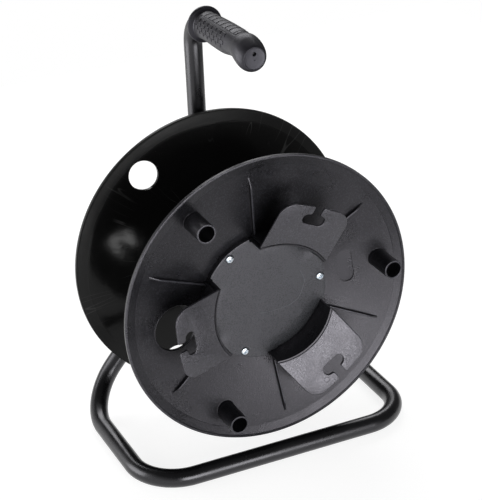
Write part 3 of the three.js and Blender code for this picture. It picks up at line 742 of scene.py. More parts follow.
class SkinSketch(Sketch):
    """A material's tree, whose patterns read Object coordinates."""

    def __init__(self, tree: bpy.types.NodeTree) -> None:
        """Starts from the place on the object, in metres."""
        super().__init__(tree)
        self.place = self.add("ShaderNodeTexCoord").outputs["Object"]

    def noise(self, noise: Noise, place: Any = None) -> NodeSocket:
        """The value of a noise.

        Args:
            noise: The noise.
            place: The coordinates that it reads, where they aren't the place on the object.

        Returns:
            A value round 0.5.
        """
        inputs = {"Scale": 1.0 / (noise.size * MM), "Detail": noise.detail, "Roughness": noise.rough}
        inputs["Vector"] = self.place if place is None else place
        return self.add("ShaderNodeTexNoise", inputs).outputs[0]

    def ramp(self, value: Any, start: float, end: float, first: float = 0.0, last: float = 1.0) -> NodeSocket:
        """A length in metres, carried from a range in millimetres over to another range."""
        return self.ranged(value, start * MM, end * MM, first, last)

    def between(self, value: Any, rise: Flat, fall: Flat) -> NodeSocket:
        """One between a rise and a fall, in millimetres, and nothing outside them."""
        return self.times(self.ramp(value, *rise), self.ramp(value, *fall, 1.0, 0.0))

    def along(self) -> NodeSocket:
        """The place along Y."""
        return self.parts(self.place)[1]

    def across(self) -> tuple[NodeSocket, NodeSocket]:
        """The place along X and the height above the axle."""
        x, _, z = self.parts(self.place)
        return x, self.maths("SUBTRACT", z, AXLE_Z * MM)

    def axle_distance(self) -> NodeSocket:
        """The distance from the axle."""
        x, height = self.across()
        return self.maths("SQRT", self.maths("MULTIPLY_ADD", x, x, self.times(height, height)))

    def axle_angle(self) -> NodeSocket:
        """The angle round the axle, in radians."""
        x, height = self.across()
        return self.maths("ARCTAN2", height, x)


# ---------------------------------------------------------------------------------------------
# The drum's form
# ---------------------------------------------------------------------------------------------


@dataclass(frozen=True)
class DrumForm:
    """Sizes that several pieces of the drum share.

    The depths are counted inwards from the rims. The spare is how far a tool goes past a hole.
    """

    half_width: float = 70.8
    rim_radius: float = 155.0
    rim_width: float = 4.0
    rim_wall: float = 1.4
    lip_width: float = 2.4
    lip_foot: float = 0.75
    band_radius: float = 144.0
    band_depth: float = 3.4
    band_step: Flat = (0.4, 0.25)
    hub_radius: float = 69.5
    hub_depth: float = 17.0
    wall: float = 3.2
    stub_circle: float = 127.3
    stub_reach: float = 27.0
    rib_height: float = 4.5
    first_catch: float = 66.4
    first_stub: float = 126.4
    flange_screw_circle: float = 57.7
    cover_screw_circle: float = 62.2
    screw_hole: float = 2.35
    spare: float = 2.0

    def front(self, depth: float) -> float:
        """The place along Y of a depth behind the front rim."""
        return depth - self.half_width

    def rear(self, depth: float) -> float:
        """The place along Y of a depth inside the rear rim."""
        return self.half_width - depth

    def slope(self) -> float:
        """How fast the dish rises outwards."""
        return (self.hub_depth - self.band_depth) / (self.band_radius - self.hub_radius)

    def dish(self, radius: float) -> float:
        """The depth of a flange's outer face between the hub and the band."""
        return self.hub_depth - self.slope() * (radius - self.hub_radius)

    def dish_outline(self, inner: float, place: Callable[[float], float]) -> list[Flat]:
        """The section of a flange, with a stepped band and a thin lip on its rim.

        Args:
            inner: The radius at which the flange ends inside.
            place: Turns a depth into a place along Y.

        Returns:
            Radii and places along Y.
        """
        lip, back = self.rim_radius - self.lip_width, self.hub_depth + self.wall
        out, up = self.band_step
        corners = [
            (inner, self.hub_depth, 0.3), (self.hub_radius, self.hub_depth, 1.6),
            (self.band_radius, self.band_depth, 0.3), (self.band_radius + out, self.band_depth - up, 0.2),
            (lip - out, self.lip_foot, 0.3), (lip, 0.0, 0.3),
            (self.rim_radius, 0.0, 0.6), (self.rim_radius, self.rim_width, 0.8),
            (self.rim_radius - self.rim_wall, self.rim_width, 0.6),
            (self.band_radius, self.band_depth + self.wall, 4.0),
            (self.hub_radius, back, 1.6), (inner, back, 0.3),
        ]
        return [(radius, place(depth)) for radius, depth in softened(corners)]

    def hub_span(self, place: Callable[[float], float]) -> Flat:
        """The places between which a hole goes through a flange's hub, with some spare."""
        return place(self.hub_depth - self.spare), place(self.hub_depth + self.wall + self.spare)

    def bored(self, radius: float, reach: float, angle: float, start: float, end: float) -> Object:
        """A round tool along Y, on a circle round the axle.

        Args:
            radius: The tool's radius.
            reach: The radius of the circle.
            angle: The angle round the axle in degrees.
            start: The tool's first place along Y.
            end: Its last place along Y.

        Returns:
            The tool as an object.
        """
        x, z = arc(AXLE, reach, angle, angle, 1)[0]
        return meshed("tool", rod(radius, start, end, 72).moved(x, 0.0, z))


DRUM = DrumForm()


# ---------------------------------------------------------------------------------------------
# Finishes
# ---------------------------------------------------------------------------------------------


def linear(colour: Colour, gain: float = 1.0) -> tuple[float, float, float, float]:
    """A screen colour as the light that it stands for.

    Args:
        colour: Red, green and blue from 0 to 255.
        gain: How much lighter or darker it is made.

    Returns:
        The colour with its alpha.
    """
    parts = [value / 255 for value in colour]
    light = [p / 12.92 if p <= 0.04045 else ((p + 0.055) / 1.055) ** 2.4 for p in parts]
    return (*(min(1.0, value * gain) for value in light), 1.0)


class Look(NamedTuple):
    """What the patterns of a finish give to its shader."""

    colour: NodeSocket
    roughness: NodeSocket
    height: NodeSocket


@dataclass(frozen=True)
class Finish(ABC):
    """A surface finish.

    Its gains make its colour lighter or darker. Its ranges are stretches of a noise's value. Its
    relief is the depth of its bumps in millimetres, and its swing is how far a noise takes the
    roughness below and above its value.
    """

    slot: str
    colour: Colour
    roughness: float
    gloss: float = 0.5
    sheen_tint: Place = (1.0, 1.0, 1.0)
    relief: float = 0.05
    relief_strength: float = 0.5
    metallic: float = 0.0
    swing: Flat = (0.07, 0.07)
    swing_range: Flat = (0.3, 0.7)

    @abstractmethod
    def look(self, skin: SkinSketch) -> Look:
        """Draws the patterns.

        Args:
            skin: The material's tree.

        Returns:
            The patterns' colour, roughness and height.
        """

    def shade(self, gain: float = 1.0) -> tuple[float, float, float, float]:
        """The finish's colour, made lighter or darker."""
        return linear(self.colour, gain)

    def swung(self, skin: SkinSketch, pattern: NodeSocket) -> NodeSocket:
        """The roughness, which a pattern takes a little below and above its value."""
        less, more = self.swing
        return skin.ranged(pattern, *self.swing_range, self.roughness - less, self.roughness + more)

    def material(self) -> bpy.types.Material:
        """The finish as a material, made on its first use.

        Returns:
            The material, named after the finish and its slot.
        """
        name = type(self).__name__ + "_" + self.slot
        found = bpy.data.materials.get(name)
        if found is not None:
            return found
        made = bpy.data.materials.new(name)
        made.use_nodes = True
        skin = SkinSketch(made.node_tree)
        look = self.look(skin)
        bump = {"Strength": self.relief_strength, "Distance": self.relief * MM, "Height": look.height}
        skin.fill(made.node_tree.nodes["Principled BSDF"], {
            "Base Color": look.colour, "Roughness": look.roughness,
            "Normal": skin.add("ShaderNodeBump", bump), "Metallic": self.metallic,
            "Specular IOR Level": self.gloss, "Specular Tint": (*self.sheen_tint, 1.0),
        })
        return made


@dataclass(frozen=True)
class GrainedPlastic(Finish):
    """Moulded plastic with an eroded grain, pale dots painted on it as glints, soft clouds and uneven gloss.

    The noises of its grain are counted in grains. Its sides may be painted darker as shade, from a place
    along Y on, and what stands out past another place along Y is painted pale as a highlight.
    """

    gloss: float = 0.4
    sheen_tint: Place = (0.94, 0.91, 1.0)
    relief_strength: float = 1.0
    swing: Flat = (0.06, 0.06)
    grain: float = 0.5
    fine: Noise = Noise(1.0, 2.0, 0.6)
    coarse: Noise = Noise(3.1, 1.0, 0.5)
    coarse_share: float = 0.25
    speckle: float = 0.25
    tone_range: Flat = (0.25, 0.75)
    cloud_swing: float = 0.16
    clouds: Noise = Noise(38.0, 3.0, 0.6)
    glint_gain: float = 1.0
    dots: Noise = Noise(1.3, 1.0, 0.4)
    glint_range: Flat = (0.53, 0.62)
    mottle: float = 0.0
    spots: Noise = Noise(0.85, 1.0, 0.5)
    mottle_range: Flat = (0.4, 0.62)
    shaded_side_from: float | None = None
    shaded_side_blur: float = 0.3
    shaded_side_gain: float = 0.25
    ridge_highlight_to: float = 0.0
    ridge_highlight_blur: float = 0.1
    ridge_highlight_gain: float = 4.0

    def rubbed(self, skin: SkinSketch, colour: NodeSocket) -> NodeSocket:
        """The colour after wear and painted edge highlights. Plain grained plastic shows neither."""
        return colour

    def look(self, skin: SkinSketch) -> Look:
        """Draws grain, clouds, painted glints, shade and highlight, wear and uneven gloss, as Finish.look
        says.
        """
        clouds = skin.noise(self.clouds)
        fine, coarse, spots = (skin.noise(noise.of(self.grain))
                               for noise in (self.fine, self.coarse, self.spots))
        away = skin.maths("SUBTRACT", fine, 0.5)
        tone = skin.maths("MULTIPLY_ADD", away, self.speckle / self.cloud_swing, clouds)
        low, high = (self.shade(gain * gain) for gain in (1.0 - self.cloud_swing, 1.0 + self.cloud_swing))
        colour = skin.blended(skin.ranged(tone, *self.tone_range), low, high)
        # Pale dots on the grain: painted glints, not a colour of the plastic.
        if self.glint_gain > 1.0:
            dot = skin.ranged(skin.noise(self.dots.of(self.grain)), *self.glint_range)
            colour = skin.blended(dot, colour, self.shade(self.glint_gain))
        # Painted shade darkens the sides, and a painted highlight pales the ridge that stands out in front.
        if self.shaded_side_from is not None:
            along = skin.along()
            side = skin.ramp(along, self.shaded_side_from - self.shaded_side_blur, self.shaded_side_from + self.shaded_side_blur)
            colour = skin.blended(side, colour, self.shade(self.shaded_side_gain))
            ridge_highlight = skin.ramp(along, self.ridge_highlight_to - self.ridge_highlight_blur, self.ridge_highlight_to, 1.0, 0.0)
            colour = skin.blended(ridge_highlight, colour, self.shade(self.ridge_highlight_gain))
        patch = self.swung(skin, clouds)
        uneven = skin.ranged(spots, *self.mottle_range, self.mottle, -self.mottle)
        height = skin.maths("MULTIPLY_ADD", coarse, self.coarse_share, fine)
        return Look(self.rubbed(skin, colour), skin.maths("ADD", patch, uneven), height)


@dataclass(frozen=True)
class RubbedEdgeLitFlangePlastic(GrainedPlastic):
    """Grained plastic paled on rim front, rib crests and stub mouths, by wear and painted edge highlights.

    The sunk field is a little lighter than the dish round it.
    """

    gain: float = 8.0
    rim_reach: float = 2.2
    rim_fade: Flat = (0.4, 1.0)
    crest_rise: Flat = (-0.5, -0.1)
    crest_fall: Flat = (0.3, 0.7)
    mouth_reach: float = 0.7
    patch: Noise = Noise(6.0)
    patch_range: Flat = (0.35, 0.65)
    patch_shares: Flat = (0.3, 0.9)
    field_gain: float = 2.0
    field_rise: Flat = (-1.3, -1.1)
    field_fall: Flat = (-0.7, -0.5)

    def rubbed(self, skin: SkinSketch, colour: NodeSocket) -> NodeSocket:
        """The colour after the places of wear and painted edge highlight are laid over it.

        Args:
            skin: The material's tree.
            colour: The colour before the wear and the painted highlights.

        Returns:
            The colour after it.
        """
        radius, along = skin.axle_distance(), skin.along()
        dish = skin.maths("MULTIPLY_ADD", radius, -DRUM.slope(), DRUM.front(DRUM.dish(0.0)) * MM)
        height = skin.maths("SUBTRACT", dish, along)
        top, tip = DRUM.rib_height, DRUM.front(-DRUM.stub_reach)
        rise, fall = (tuple(top + step for step in steps) for steps in (self.crest_rise, self.crest_fall))
        edge = skin.ramp(radius, DRUM.rim_radius - self.rim_reach, DRUM.rim_radius)
        crown = skin.ramp(along, *(DRUM.front(depth) for depth in self.rim_fade), 1.0, 0.0)
        mouth = skin.ramp(along, tip, tip + self.mouth_reach, 1.0, 0.0)
        # The rim front, rib crests and stub mouths are paled partly as wear, partly as painted edge
        # highlights.
        worn_and_lit = skin.maths("MAXIMUM", skin.between(height, rise, fall),
                          skin.maths("MAXIMUM", skin.times(edge, crown), mouth))
        patches = skin.ranged(skin.noise(self.patch), *self.patch_range, *self.patch_shares)
        sunk = skin.between(height, self.field_rise, self.field_fall)
        plain = skin.blended(sunk, colour, self.shade(self.field_gain))
        return skin.blended(skin.times(worn_and_lit, patches), plain, self.shade(self.gain))


@dataclass(frozen=True)
class PolishedPlastic(Finish):
    """Glossy black moulding with faint flow lines that run out from the axle, and a duller rim band."""

    relief: float = 0.4
    swing: Flat = (0.02, 0.04)
    streaks: float = 7.0
    streak_reach: float = 8.0
    flow: Noise = Noise(1000.0, 1.0, 0.5)
    hair: float = 0.005
    lines: Noise = Noise(45.0, 2.0)
    line_range: Flat = (0.54, 0.64)
    line_gain: float = 6.0
    line_roughness: float = 0.08
    dust: Noise = Noise(1.1)
    dust_range: Flat = (0.66, 0.74)
    dust_share: float = 0.5
    dust_gain: float = 5.0
    dust_height: float = 0.04
    haze: Noise = Noise(26.0)
    band_edges: Flat = (-3.0, 1.0)
    band_roughness: float = 0.22

    def look(self, skin: SkinSketch) -> Look:
        """Draws the flow lines, the dust, the band and the skin's slight waves, as Finish.look says."""
        radius = skin.axle_distance()
        fan = skin.vector(skin.times(skin.axle_angle(), self.streaks), skin.times(radius, self.streak_reach))
        flow = skin.noise(self.flow, fan)
        away = skin.maths("ABSOLUTE", skin.maths("SUBTRACT", flow, 0.5))
        stretches = skin.ranged(skin.noise(self.lines), *self.line_range)
        line = skin.times(skin.ranged(away, 0.0, self.hair, 1.0, 0.0), stretches)
        dust, haze = skin.noise(self.dust), skin.noise(self.haze)
        colour = skin.blended(line, self.shade(), self.shade(self.line_gain))
        dusty = skin.ranged(dust, *self.dust_range, 0.0, self.dust_share)
        band = skin.ramp(radius, *(DRUM.band_radius + edge for edge in self.band_edges))
        dull = skin.maths("MULTIPLY_ADD", band, self.band_roughness, self.swung(skin, haze))
        return Look(
            skin.blended(dusty, colour, self.shade(self.dust_gain)),
            skin.maths("MULTIPLY_ADD", line, self.line_roughness, dull),
            skin.maths("MULTIPLY_ADD", dust, self.dust_height, haze),
        )


@dataclass(frozen=True)
class PowderCoat(Finish):
    """Black powder coat with a fine orange peel and a few rubbed specks."""

    gloss: float = 0.6
    sheen_tint: Place = (0.95, 0.94, 1.0)
    relief: float = 0.015
    swing: Flat = (0.05, 0.07)
    peel: Noise = Noise(1.3, 2.0)
    haze: Noise = Noise(30.0, 4.0)
    haze_gains: Flat = (0.75, 1.3)
    speck: Colour = (52, 52, 55)
    specks: Noise = Noise(1.2, 1.0)
    speck_range: Flat = (0.76, 0.82)

    def look(self, skin: SkinSketch) -> Look:
        """Draws the peel and the specks, as Finish.look says."""
        haze = skin.noise(self.haze)
        speck = skin.ranged(skin.noise(self.specks), *self.speck_range)
        dark, light = (self.shade(gain) for gain in self.haze_gains)
        colour = skin.blended(speck, skin.blended(skin.ranged(haze, *self.swing_range), dark, light),
                              linear(self.speck))
        return Look(colour, self.swung(skin, haze), skin.noise(self.peel))


@dataclass(frozen=True)
class MouldedRubber(Finish):
    """Dull rubber with a dusty bloom."""

    sheen_tint: Place = (0.9, 0.89, 1.0)
    bloom_gain: float = 1.5
    bloom: Noise = Noise(9.0, 5.0, 0.65)
    bloom_range: Flat = (0.45, 0.85)
    pores: Noise = Noise(0.45, 2.0)
    pore_share: float = 0.3

    def look(self, skin: SkinSketch) -> Look:
        """Draws the bloom and the pores, as Finish.look says."""
        bloom, pores = skin.noise(self.bloom), skin.noise(self.pores)
        tone = skin.maths("MULTIPLY_ADD", pores, self.pore_share, bloom)
        colour = skin.blended(skin.ranged(tone, *self.bloom_range), self.shade(1 / self.bloom_gain),
                              self.shade(self.bloom_gain))
        return Look(colour, self.swung(skin, bloom), pores)


@dataclass(frozen=True)
class DullShadedGrooveRubber(MouldedRubber):
    """The grip's groove floor: rough rubber painted near black as the shade in the grooves."""


@dataclass(frozen=True)
class WorkedMetal(Finish):
    """Bare or plated metal. Turned metal has fine rings round the drum's axis."""

    relief: float = 0.02
    relief_strength: float = 0.4
    metallic: float = 1.0
    swing: Flat = (0.08, 0.1)
    tint: Colour = (190, 202, 214)
    patches: Noise = Noise(3.5, 4.0)
    tint_range: Flat = (0.35, 0.65)
    marks: Noise = Noise(1.4)
    rings: float = 1.0

    def look(self, skin: SkinSketch) -> Look:
        """Draws the tint and the tool marks, as Finish.look says."""
        patch = skin.ranged(skin.noise(self.patches), *self.tint_range)
        stretch = {"Vector": skin.place, "Scale": (1.0, self.rings, 1.0)}
        marks = skin.noise(self.marks, skin.add("ShaderNodeMapping", stretch).outputs[0])
        colour = skin.blended(patch, self.shade(), linear(self.tint))
        return Look(colour, self.swung(skin, marks), marks)


@dataclass(frozen=True)
class Finishes:
    """The finishes of the whole model."""

    # The pale dots of the grained plastics below are painted glints on the grain.
    front_flange: Finish = RubbedEdgeLitFlangePlastic(
        "front_flange_plastic", (15, 15, 17), 0.32, grain=1.2, relief=0.19, speckle=0.8, cloud_swing=0.14,
        glint_gain=3.0, mottle=0.02)
    rear_flange: Finish = PolishedPlastic("rear_flange_plastic", (24, 24, 24), 0.12, 0.17)
    core: Finish = GrainedPlastic(
        "core_plastic", (12, 12, 13), 0.4, 0.3, grain=1.1, relief=0.03, speckle=0.15)
    # The cover's side is painted dark as shade, and its pressed arc pale as a highlight.
    cover: Finish = GrainedPlastic(
        "cover_plastic", (38, 39, 41), 0.34, 0.46, grain=1.1, relief=0.17, speckle=0.6, cloud_swing=0.08,
        glint_gain=1.8, mottle=0.1, shaded_side_from=-58.2, ridge_highlight_to=-60.45)
    catch: Finish = GrainedPlastic(
        "catch_plastic", (24, 24, 27), 0.36, 0.74, grain=1.3, relief=0.28, speckle=0.8, cloud_swing=0.08,
        glint_gain=2.8, mottle=0.085)
    bush: Finish = GrainedPlastic("bush_plastic", (216, 214, 205), 0.45, 0.5, grain=0.4, relief=0.01)
    paint: Finish = PowderCoat("frame_paint", (8, 8, 9), 0.28)
    rubber: Finish = MouldedRubber("grip_rubber", (16, 15, 19), 0.46, 0.52)
    # The groove floor is painted near black as shade in the grooves.
    groove_shade: Finish = DullShadedGrooveRubber("grip_rubber", (3, 3, 4), 0.8, 0.03)
    steel: Finish = WorkedMetal("turned_steel", (178, 180, 184), 0.3, tint=(150, 152, 158), rings=14.0)
    zinc: Finish = WorkedMetal("zinc_plate", (214, 219, 224), 0.24)


FINISHES = Finishes()


# ---------------------------------------------------------------------------------------------
# The drum
# ---------------------------------------------------------------------------------------------


@dataclass
class FrontFlange:
    """The dished front flange with its ribs, stubs, hub walls, opening and sunk field."""

    ring: RingTree
    sides: int = 240
    inner_radius: float = 52.2
    rooted: float = 1.2
    stub_sides: int = 64
    stub_radius: float = 10.0
    stub_bore: float = 8.1
    stub_fillet: float = 0.5
    stub_floor: float = 0.4
    rib_thickness: float = 2.0
    rib_middle: float = 98.0
    rib_crest: float = 126.0
    rib_tip: float = 136.0
    rib_count: int = 6
    rib_lead: float = 30.0
    wall_inner: float = 65.0
    wall_outer: float = 66.8
    wall_half_angle: float = 35.5
    catch_rise: float = 15.5
    catch_tilt: float = 16.2
    opening_radius: float = 24.0
    opening_circle: float = 98.2
    opening_angle: float = 186.4
    opening_lip_width: float = 1.5
    field_circle: float = 92.8
    field_angle: float = 6.4
    field_width: float = 16.0
    field_length: float = 37.0
    field_depth: float = 0.9

    def build(self) -> Object:
        """Builds the whole moulding as one piece.

        Returns:
            The piece.
        """
        finish = FINISHES.front_flange
        rows = [
            (self.rib(), "ribs", self.rib_count, DRUM.first_catch - self.rib_lead),
            (self.stub(), "stubs", 3, DRUM.first_stub),
            (self.hub_wall(), "hub_walls", 3, DRUM.first_catch),
            (self.opening_lip(), "opening_lip", 1, self.opening_angle),
        ]
        parts = [self.disc(), *(self.ring.ring(shell, name, finish, *place) for shell, name, *place in rows)]
        return dressed(united("front_flange_moulding", parts), finish, Body.DRUM, ["front_flange"])

    def disc(self) -> Object:
        """The dished disc with its opening, field and screw holes.

        Returns:
            The disc.
        """
        disc = meshed("disc", turned(DRUM.dish_outline(self.inner_radius, DRUM.front), self.sides))
        tools = [DRUM.bored(self.opening_radius, self.opening_circle, self.opening_angle,
                            DRUM.front(0.0), DRUM.front(DRUM.hub_depth + DRUM.wall))]
        for turn in THIRDS:
            for reach, first in ((DRUM.cover_screw_circle, DRUM.first_stub),
                                 (DRUM.flange_screw_circle, DRUM.first_catch)):
                tools.append(DRUM.bored(DRUM.screw_hole, reach, first + turn, *DRUM.hub_span(DRUM.front)))
        return pierced(disc, [*tools, self.field_tool()])

    def field_tool(self) -> Object:
        """The stadium that sinks the field into the dish.

        Returns:
            The tool.
        """
        end = self.field_width / 2
        straight = self.field_length / 2 - end
        outline = [*arc((0.0, straight), end, 0.0, 180.0, 24), *arc((0.0, -straight), end, 180.0, 360.0, 24)]
        move = (
            Matrix.Rotation(-math.radians(self.field_angle), 4, "Y")
            @ Matrix.Translation((self.field_circle, DRUM.front(DRUM.dish(self.field_circle)), 0.0))
            @ Matrix.Rotation(-math.atan(DRUM.slope()), 4, "Z")
        )
        tool = slab(outline, lambda _: -3.0, lambda _: self.field_depth)
        return meshed("field_tool", tool.placed(move))

    def on_dish(self, x: float, z: float, height: float) -> Place:
        """A point above the dish's outer face, at a place across it."""
        return x, DRUM.front(DRUM.dish(math.hypot(x, z)) - height), z

    def stub(self) -> Shell:
        """A hollow stub with a fillet that follows the dish, and a rounded mouth.

        Returns:
            The stub, on +X.
        """
        radius, bore, fillet = self.stub_radius, self.stub_bore, self.stub_fillet
        middle, tip = DRUM.stub_circle, DRUM.front(-DRUM.stub_reach)
        floor = DRUM.front(DRUM.dish(middle) - self.stub_floor)
        foot = [(radius - 2.0, -self.rooted), (radius + fillet, -self.rooted),
                *arc((radius + fillet, fillet), fillet, 270.0, 180.0, 4)]
        mouth = softened([
            (radius, tip + 2.0, 0.0), (radius, tip, 0.6), (bore, tip, 0.5),
            (bore, tip + 2.0, 0.0), (bore, floor, 0.5), (1.0, floor, 0.0),
        ])
        rings = [[self.on_dish(middle + x, z, height) for x, z in circle(reach, self.stub_sides)]
                 for reach, height in foot]
        rings += [[(middle + x, y, z) for x, z in circle(reach, self.stub_sides)]
                  for reach, y in [(radius, tip + 8.0), *mouth]]
        return lofted(rings)

    def rib(self) -> Shell:
        """A low rib along +X that follows the dish, with a soft crest.

        Returns:
            The rib.
        """
        half, top = self.rib_thickness / 2, DRUM.rib_height
        tops = [
            (DRUM.hub_radius - 1.0, top), (DRUM.hub_radius + 2.0, top), (self.rib_middle, top),
            (self.rib_crest - 2.0, top), (self.rib_crest, top - 0.25), (self.rib_crest + 2.5, top * 0.74),
            (self.rib_tip - 1.5, 0.55), (self.rib_tip, 0.05),
        ]
        sections = []
        for radius, height in tops:
            soft = min(0.5, height * 0.45)
            side = [(half + 0.35, -self.rooted), (half + 0.35, 0.0), (half, min(0.4, height * 0.5)),
                    (half, height - soft), (half - soft * 0.4, height - soft * 0.3), (half - soft, height)]
            profile = [(-z, up) for z, up in side] + side[::-1]
            sections.append([(radius, DRUM.front(DRUM.dish(radius) - up), z) for z, up in profile])
        return lofted(sections)

    def catch_plane(self, along: float) -> float:
        """The place along Y of the catch plate's front face, at a place along its own direction."""
        fall = math.tan(math.radians(self.catch_tilt))
        return DRUM.front(-self.catch_rise) - (along - self.wall_outer) * fall

    def hub_wall(self) -> Shell:
        """A curved wall round +X that ends along the plane of its catch plate.

        Returns:
            The wall.
        """
        inner, outer, foot = self.wall_inner, self.wall_outer, DRUM.front(DRUM.hub_depth + DRUM.wall / 2)
        return curved(self.wall_half_angle, 48, lambda x: softened([
            (inner, foot, 0.0), (inner, self.catch_plane(inner * x), 0.5),
            (outer, self.catch_plane(outer * x), 0.3), (outer, foot, 0.0),
        ], 3))

    def opening_lip(self) -> Shell:
        """The thin rounded edge of the cable opening, which follows the dish.

        Returns:
            The edge, on +X.
        """
        inner, back = self.opening_radius - 0.05, -DRUM.wall - 0.2
        profile = softened([
            (0.0, 0.35, 0.35), (1.1, 0.35, 0.5), (self.opening_lip_width, -0.8, 0.2), (1.1, back, 0.3),
            (0.0, back, 0.3),
        ], 3)
        return lofted([[self.on_dish(self.opening_circle + (inner + out) * x, (inner + out) * z, height)
                        for out, height in profile] for x, z in circle(1.0, 96)], joined=True)


@dataclass
class RearFlange:
    """The glossy dished rear flange with its three round holes."""

    sides: int = 240
    inner_radius: float = 13.0
    hole_radius: float = 15.5
    hole_start: float = -1.0

    def build(self) -> Object:
        """Builds the flange.

        Returns:
            The piece.
        """
        disc = meshed("rear_flange_disc", turned(DRUM.dish_outline(self.inner_radius, DRUM.rear), self.sides))
        span = DRUM.rear(DRUM.hub_depth + DRUM.wall), DRUM.rear(self.hole_start)
        tools = []
        for angle in (DRUM.first_stub + turn for turn in THIRDS):
            tools.append(DRUM.bored(self.hole_radius, DRUM.stub_circle, angle, *span))
            tools.append(DRUM.bored(DRUM.screw_hole, DRUM.flange_screw_circle, angle,
                                    *DRUM.hub_span(DRUM.rear)))
        return dressed(pierced(disc, tools), FINISHES.rear_flange, Body.DRUM, ["rear_flange"])


@dataclass
class CoreBarrel:
    """The hollow core: barrel, cross web, bearing tube and screw bosses."""

    ring: RingTree
    sides: int = 160
    radius: float = 69.0
    wall: float = 3.5
    web: float = 3.0
    end: float = 50.3
    bearing_bore: float = 13.46
    bearing_radius: float = 17.3
    bearing_front: float = -29.8
    bearing_rear: float = 46.2
    boss_length: float = 14.0

    def build(self) -> Object:
        """Builds the core as one piece.

        Returns:
            The piece.
        """
        inner, web, end = self.radius - self.wall, self.web / 2, self.end
        bore, bearing = self.bearing_bore, self.bearing_radius
        shell = turned(softened([
            (bore, self.bearing_front, 0.5), (bearing, self.bearing_front, 0.5), (bearing, -web, 2.0),
            (inner, -web, 2.0), (inner, -end, 0.4), (self.radius, -end, 0.6), (self.radius, end, 0.6),
            (inner, end, 0.4), (inner, web, 2.0), (bearing, web, 2.0), (bearing, self.bearing_rear, 0.5),
            (bore, self.bearing_rear, 0.5),
        ]), self.sides)
        finish, parts = FINISHES.core, [meshed("barrel", shell)]
        for reach, first, facing in [
            (DRUM.cover_screw_circle, DRUM.first_stub, Facing.FRONT),
            (DRUM.flange_screw_circle, DRUM.first_catch, Facing.FRONT),
            (DRUM.flange_screw_circle, DRUM.first_stub, Facing.REAR),
        ]:
            parts.append(self.ring.ring(self.boss(reach, facing), "bosses", finish, 3, first))
        return dressed(united("core_moulding", parts), finish, Body.DRUM, ["core_barrel"])

    def boss(self, reach: float, facing: Facing) -> Shell:
        """A hollow boss on +X at one end of the core.

        Args:
            reach: The radius of its screw's circle.
            facing: The end of the core that it stands at.

        Returns:
            The boss.
        """
        outer, side = self.radius - self.wall / 2 - reach, -1.0 if facing is Facing.FRONT else 1.0
        hole, start, end = DRUM.screw_hole, self.end, self.end - self.boss_length
        rim = softened([(hole, start, 0.2), (outer, start, 0.4), (outer, end, 1.0), (hole, end, 0.2)], 3)
        return turned([(radius, side * y) for radius, y in rim], 32).moved(dx=reach)


@dataclass
class HubCover:
    """The three-lobed cover in the hub, with sunk screw seats and a faint pressed arc.

    Its face falls away at the three waists between the lobes.
    """

    tube: TubeTree
    top_depth: float = 10.5
    foot_depth: float = 16.7
    wall: float = 2.4
    lobe_radius: float = 68.0
    lobe_half_angle: float = 23.5
    waist_radius: float = 64.7
    sink_radius: float = 4.7
    sink_depth: float = 1.2
    edge: float = 0.49
    fall: float = 2.4
    fall_reach: float = 17.0
    fall_fade: float = 14.0
    fall_loops: int = 8
    arc_line: float = 0.45
    arc_sunk: float = 0.04
    arc_knots: Sequence[Flat] = (
        (39.1, 19.5), (42.6, 12.3), (43.9, 5.6), (41.1, -3.1), (37.2, -10.6), (28.6, -15.8),
        (18.1, -17.8), (5.6, -18.8), (-6.8, -17.6),
    )

    def outline(self, inset: float) -> list[Flat]:
        """The cover's edge, drawn in by an inset.

        Args:
            inset: How far it is drawn in.

        Returns:
            The points of the edge.
        """
        half = self.lobe_half_angle - math.degrees(inset / self.lobe_radius)
        points: list[Flat] = []
        for middle in (DRUM.first_stub + turn for turn in THIRDS):
            points += arc(AXLE, self.lobe_radius - inset, middle - half, middle + half, 32)
            points += arc(AXLE, self.waist_radius - inset, middle + half, middle + THIRD - half, 48)
        return points

    def face(self, inset: float) -> list[Place]:
        """One loop of the front face, which falls away towards the three waists.

        Args:
            inset: How far the loop lies inside the edge.

        Returns:
            The loop's points.
        """
        drop = self.fall * (1.0 - min(1.0, inset / self.fall_reach)) ** 2
        loop = []
        for x, z in self.outline(inset):
            angle = math.degrees(math.atan2(z, x)) - DRUM.first_catch
            away = abs((angle + THIRD / 2) % THIRD - THIRD / 2)
            near = max(0.0, min(1.0, (THIRD / 2 - self.lobe_half_angle - away) / self.fall_fade))
            loop.append((x, DRUM.front(self.top_depth) + drop * near * near * (3.0 - 2.0 * near), z))
        return loop

    def build(self) -> Object:
        """Builds the cover.

        Returns:
            The piece.
        """
        top, foot = DRUM.front(self.top_depth), DRUM.front(self.foot_depth)
        loops = [self.face(self.fall_reach * i / self.fall_loops) for i in range(self.fall_loops, -1, -1)]
        for inset, y in [(0.0, foot), (self.wall, foot), (self.wall, top + self.wall)]:
            loops.append([(x, y, z) for x, z in self.outline(inset)])
        sinks = [DRUM.bored(self.sink_radius, DRUM.cover_screw_circle, DRUM.first_stub + turn, top - 2.0,
                            top + self.sink_depth) for turn in THIRDS]
        cover = eased(pierced(meshed("hub_cover_cap", lofted(loops)), sinks), self.edge)
        knots = [(x, top + self.arc_sunk, z + AXLE_Z) for x, z in self.arc_knots]
        line = self.tube.grow(strung("arc", smooth_line(knots, 8)), "pressed_arc", FINISHES.cover,
                              Radius=self.arc_line * MM, Sides=10)
        whole = united("hub_cover_moulding", [cover, line])
        return dressed(whole, FINISHES.cover, Body.DRUM, ["hub_cover"])


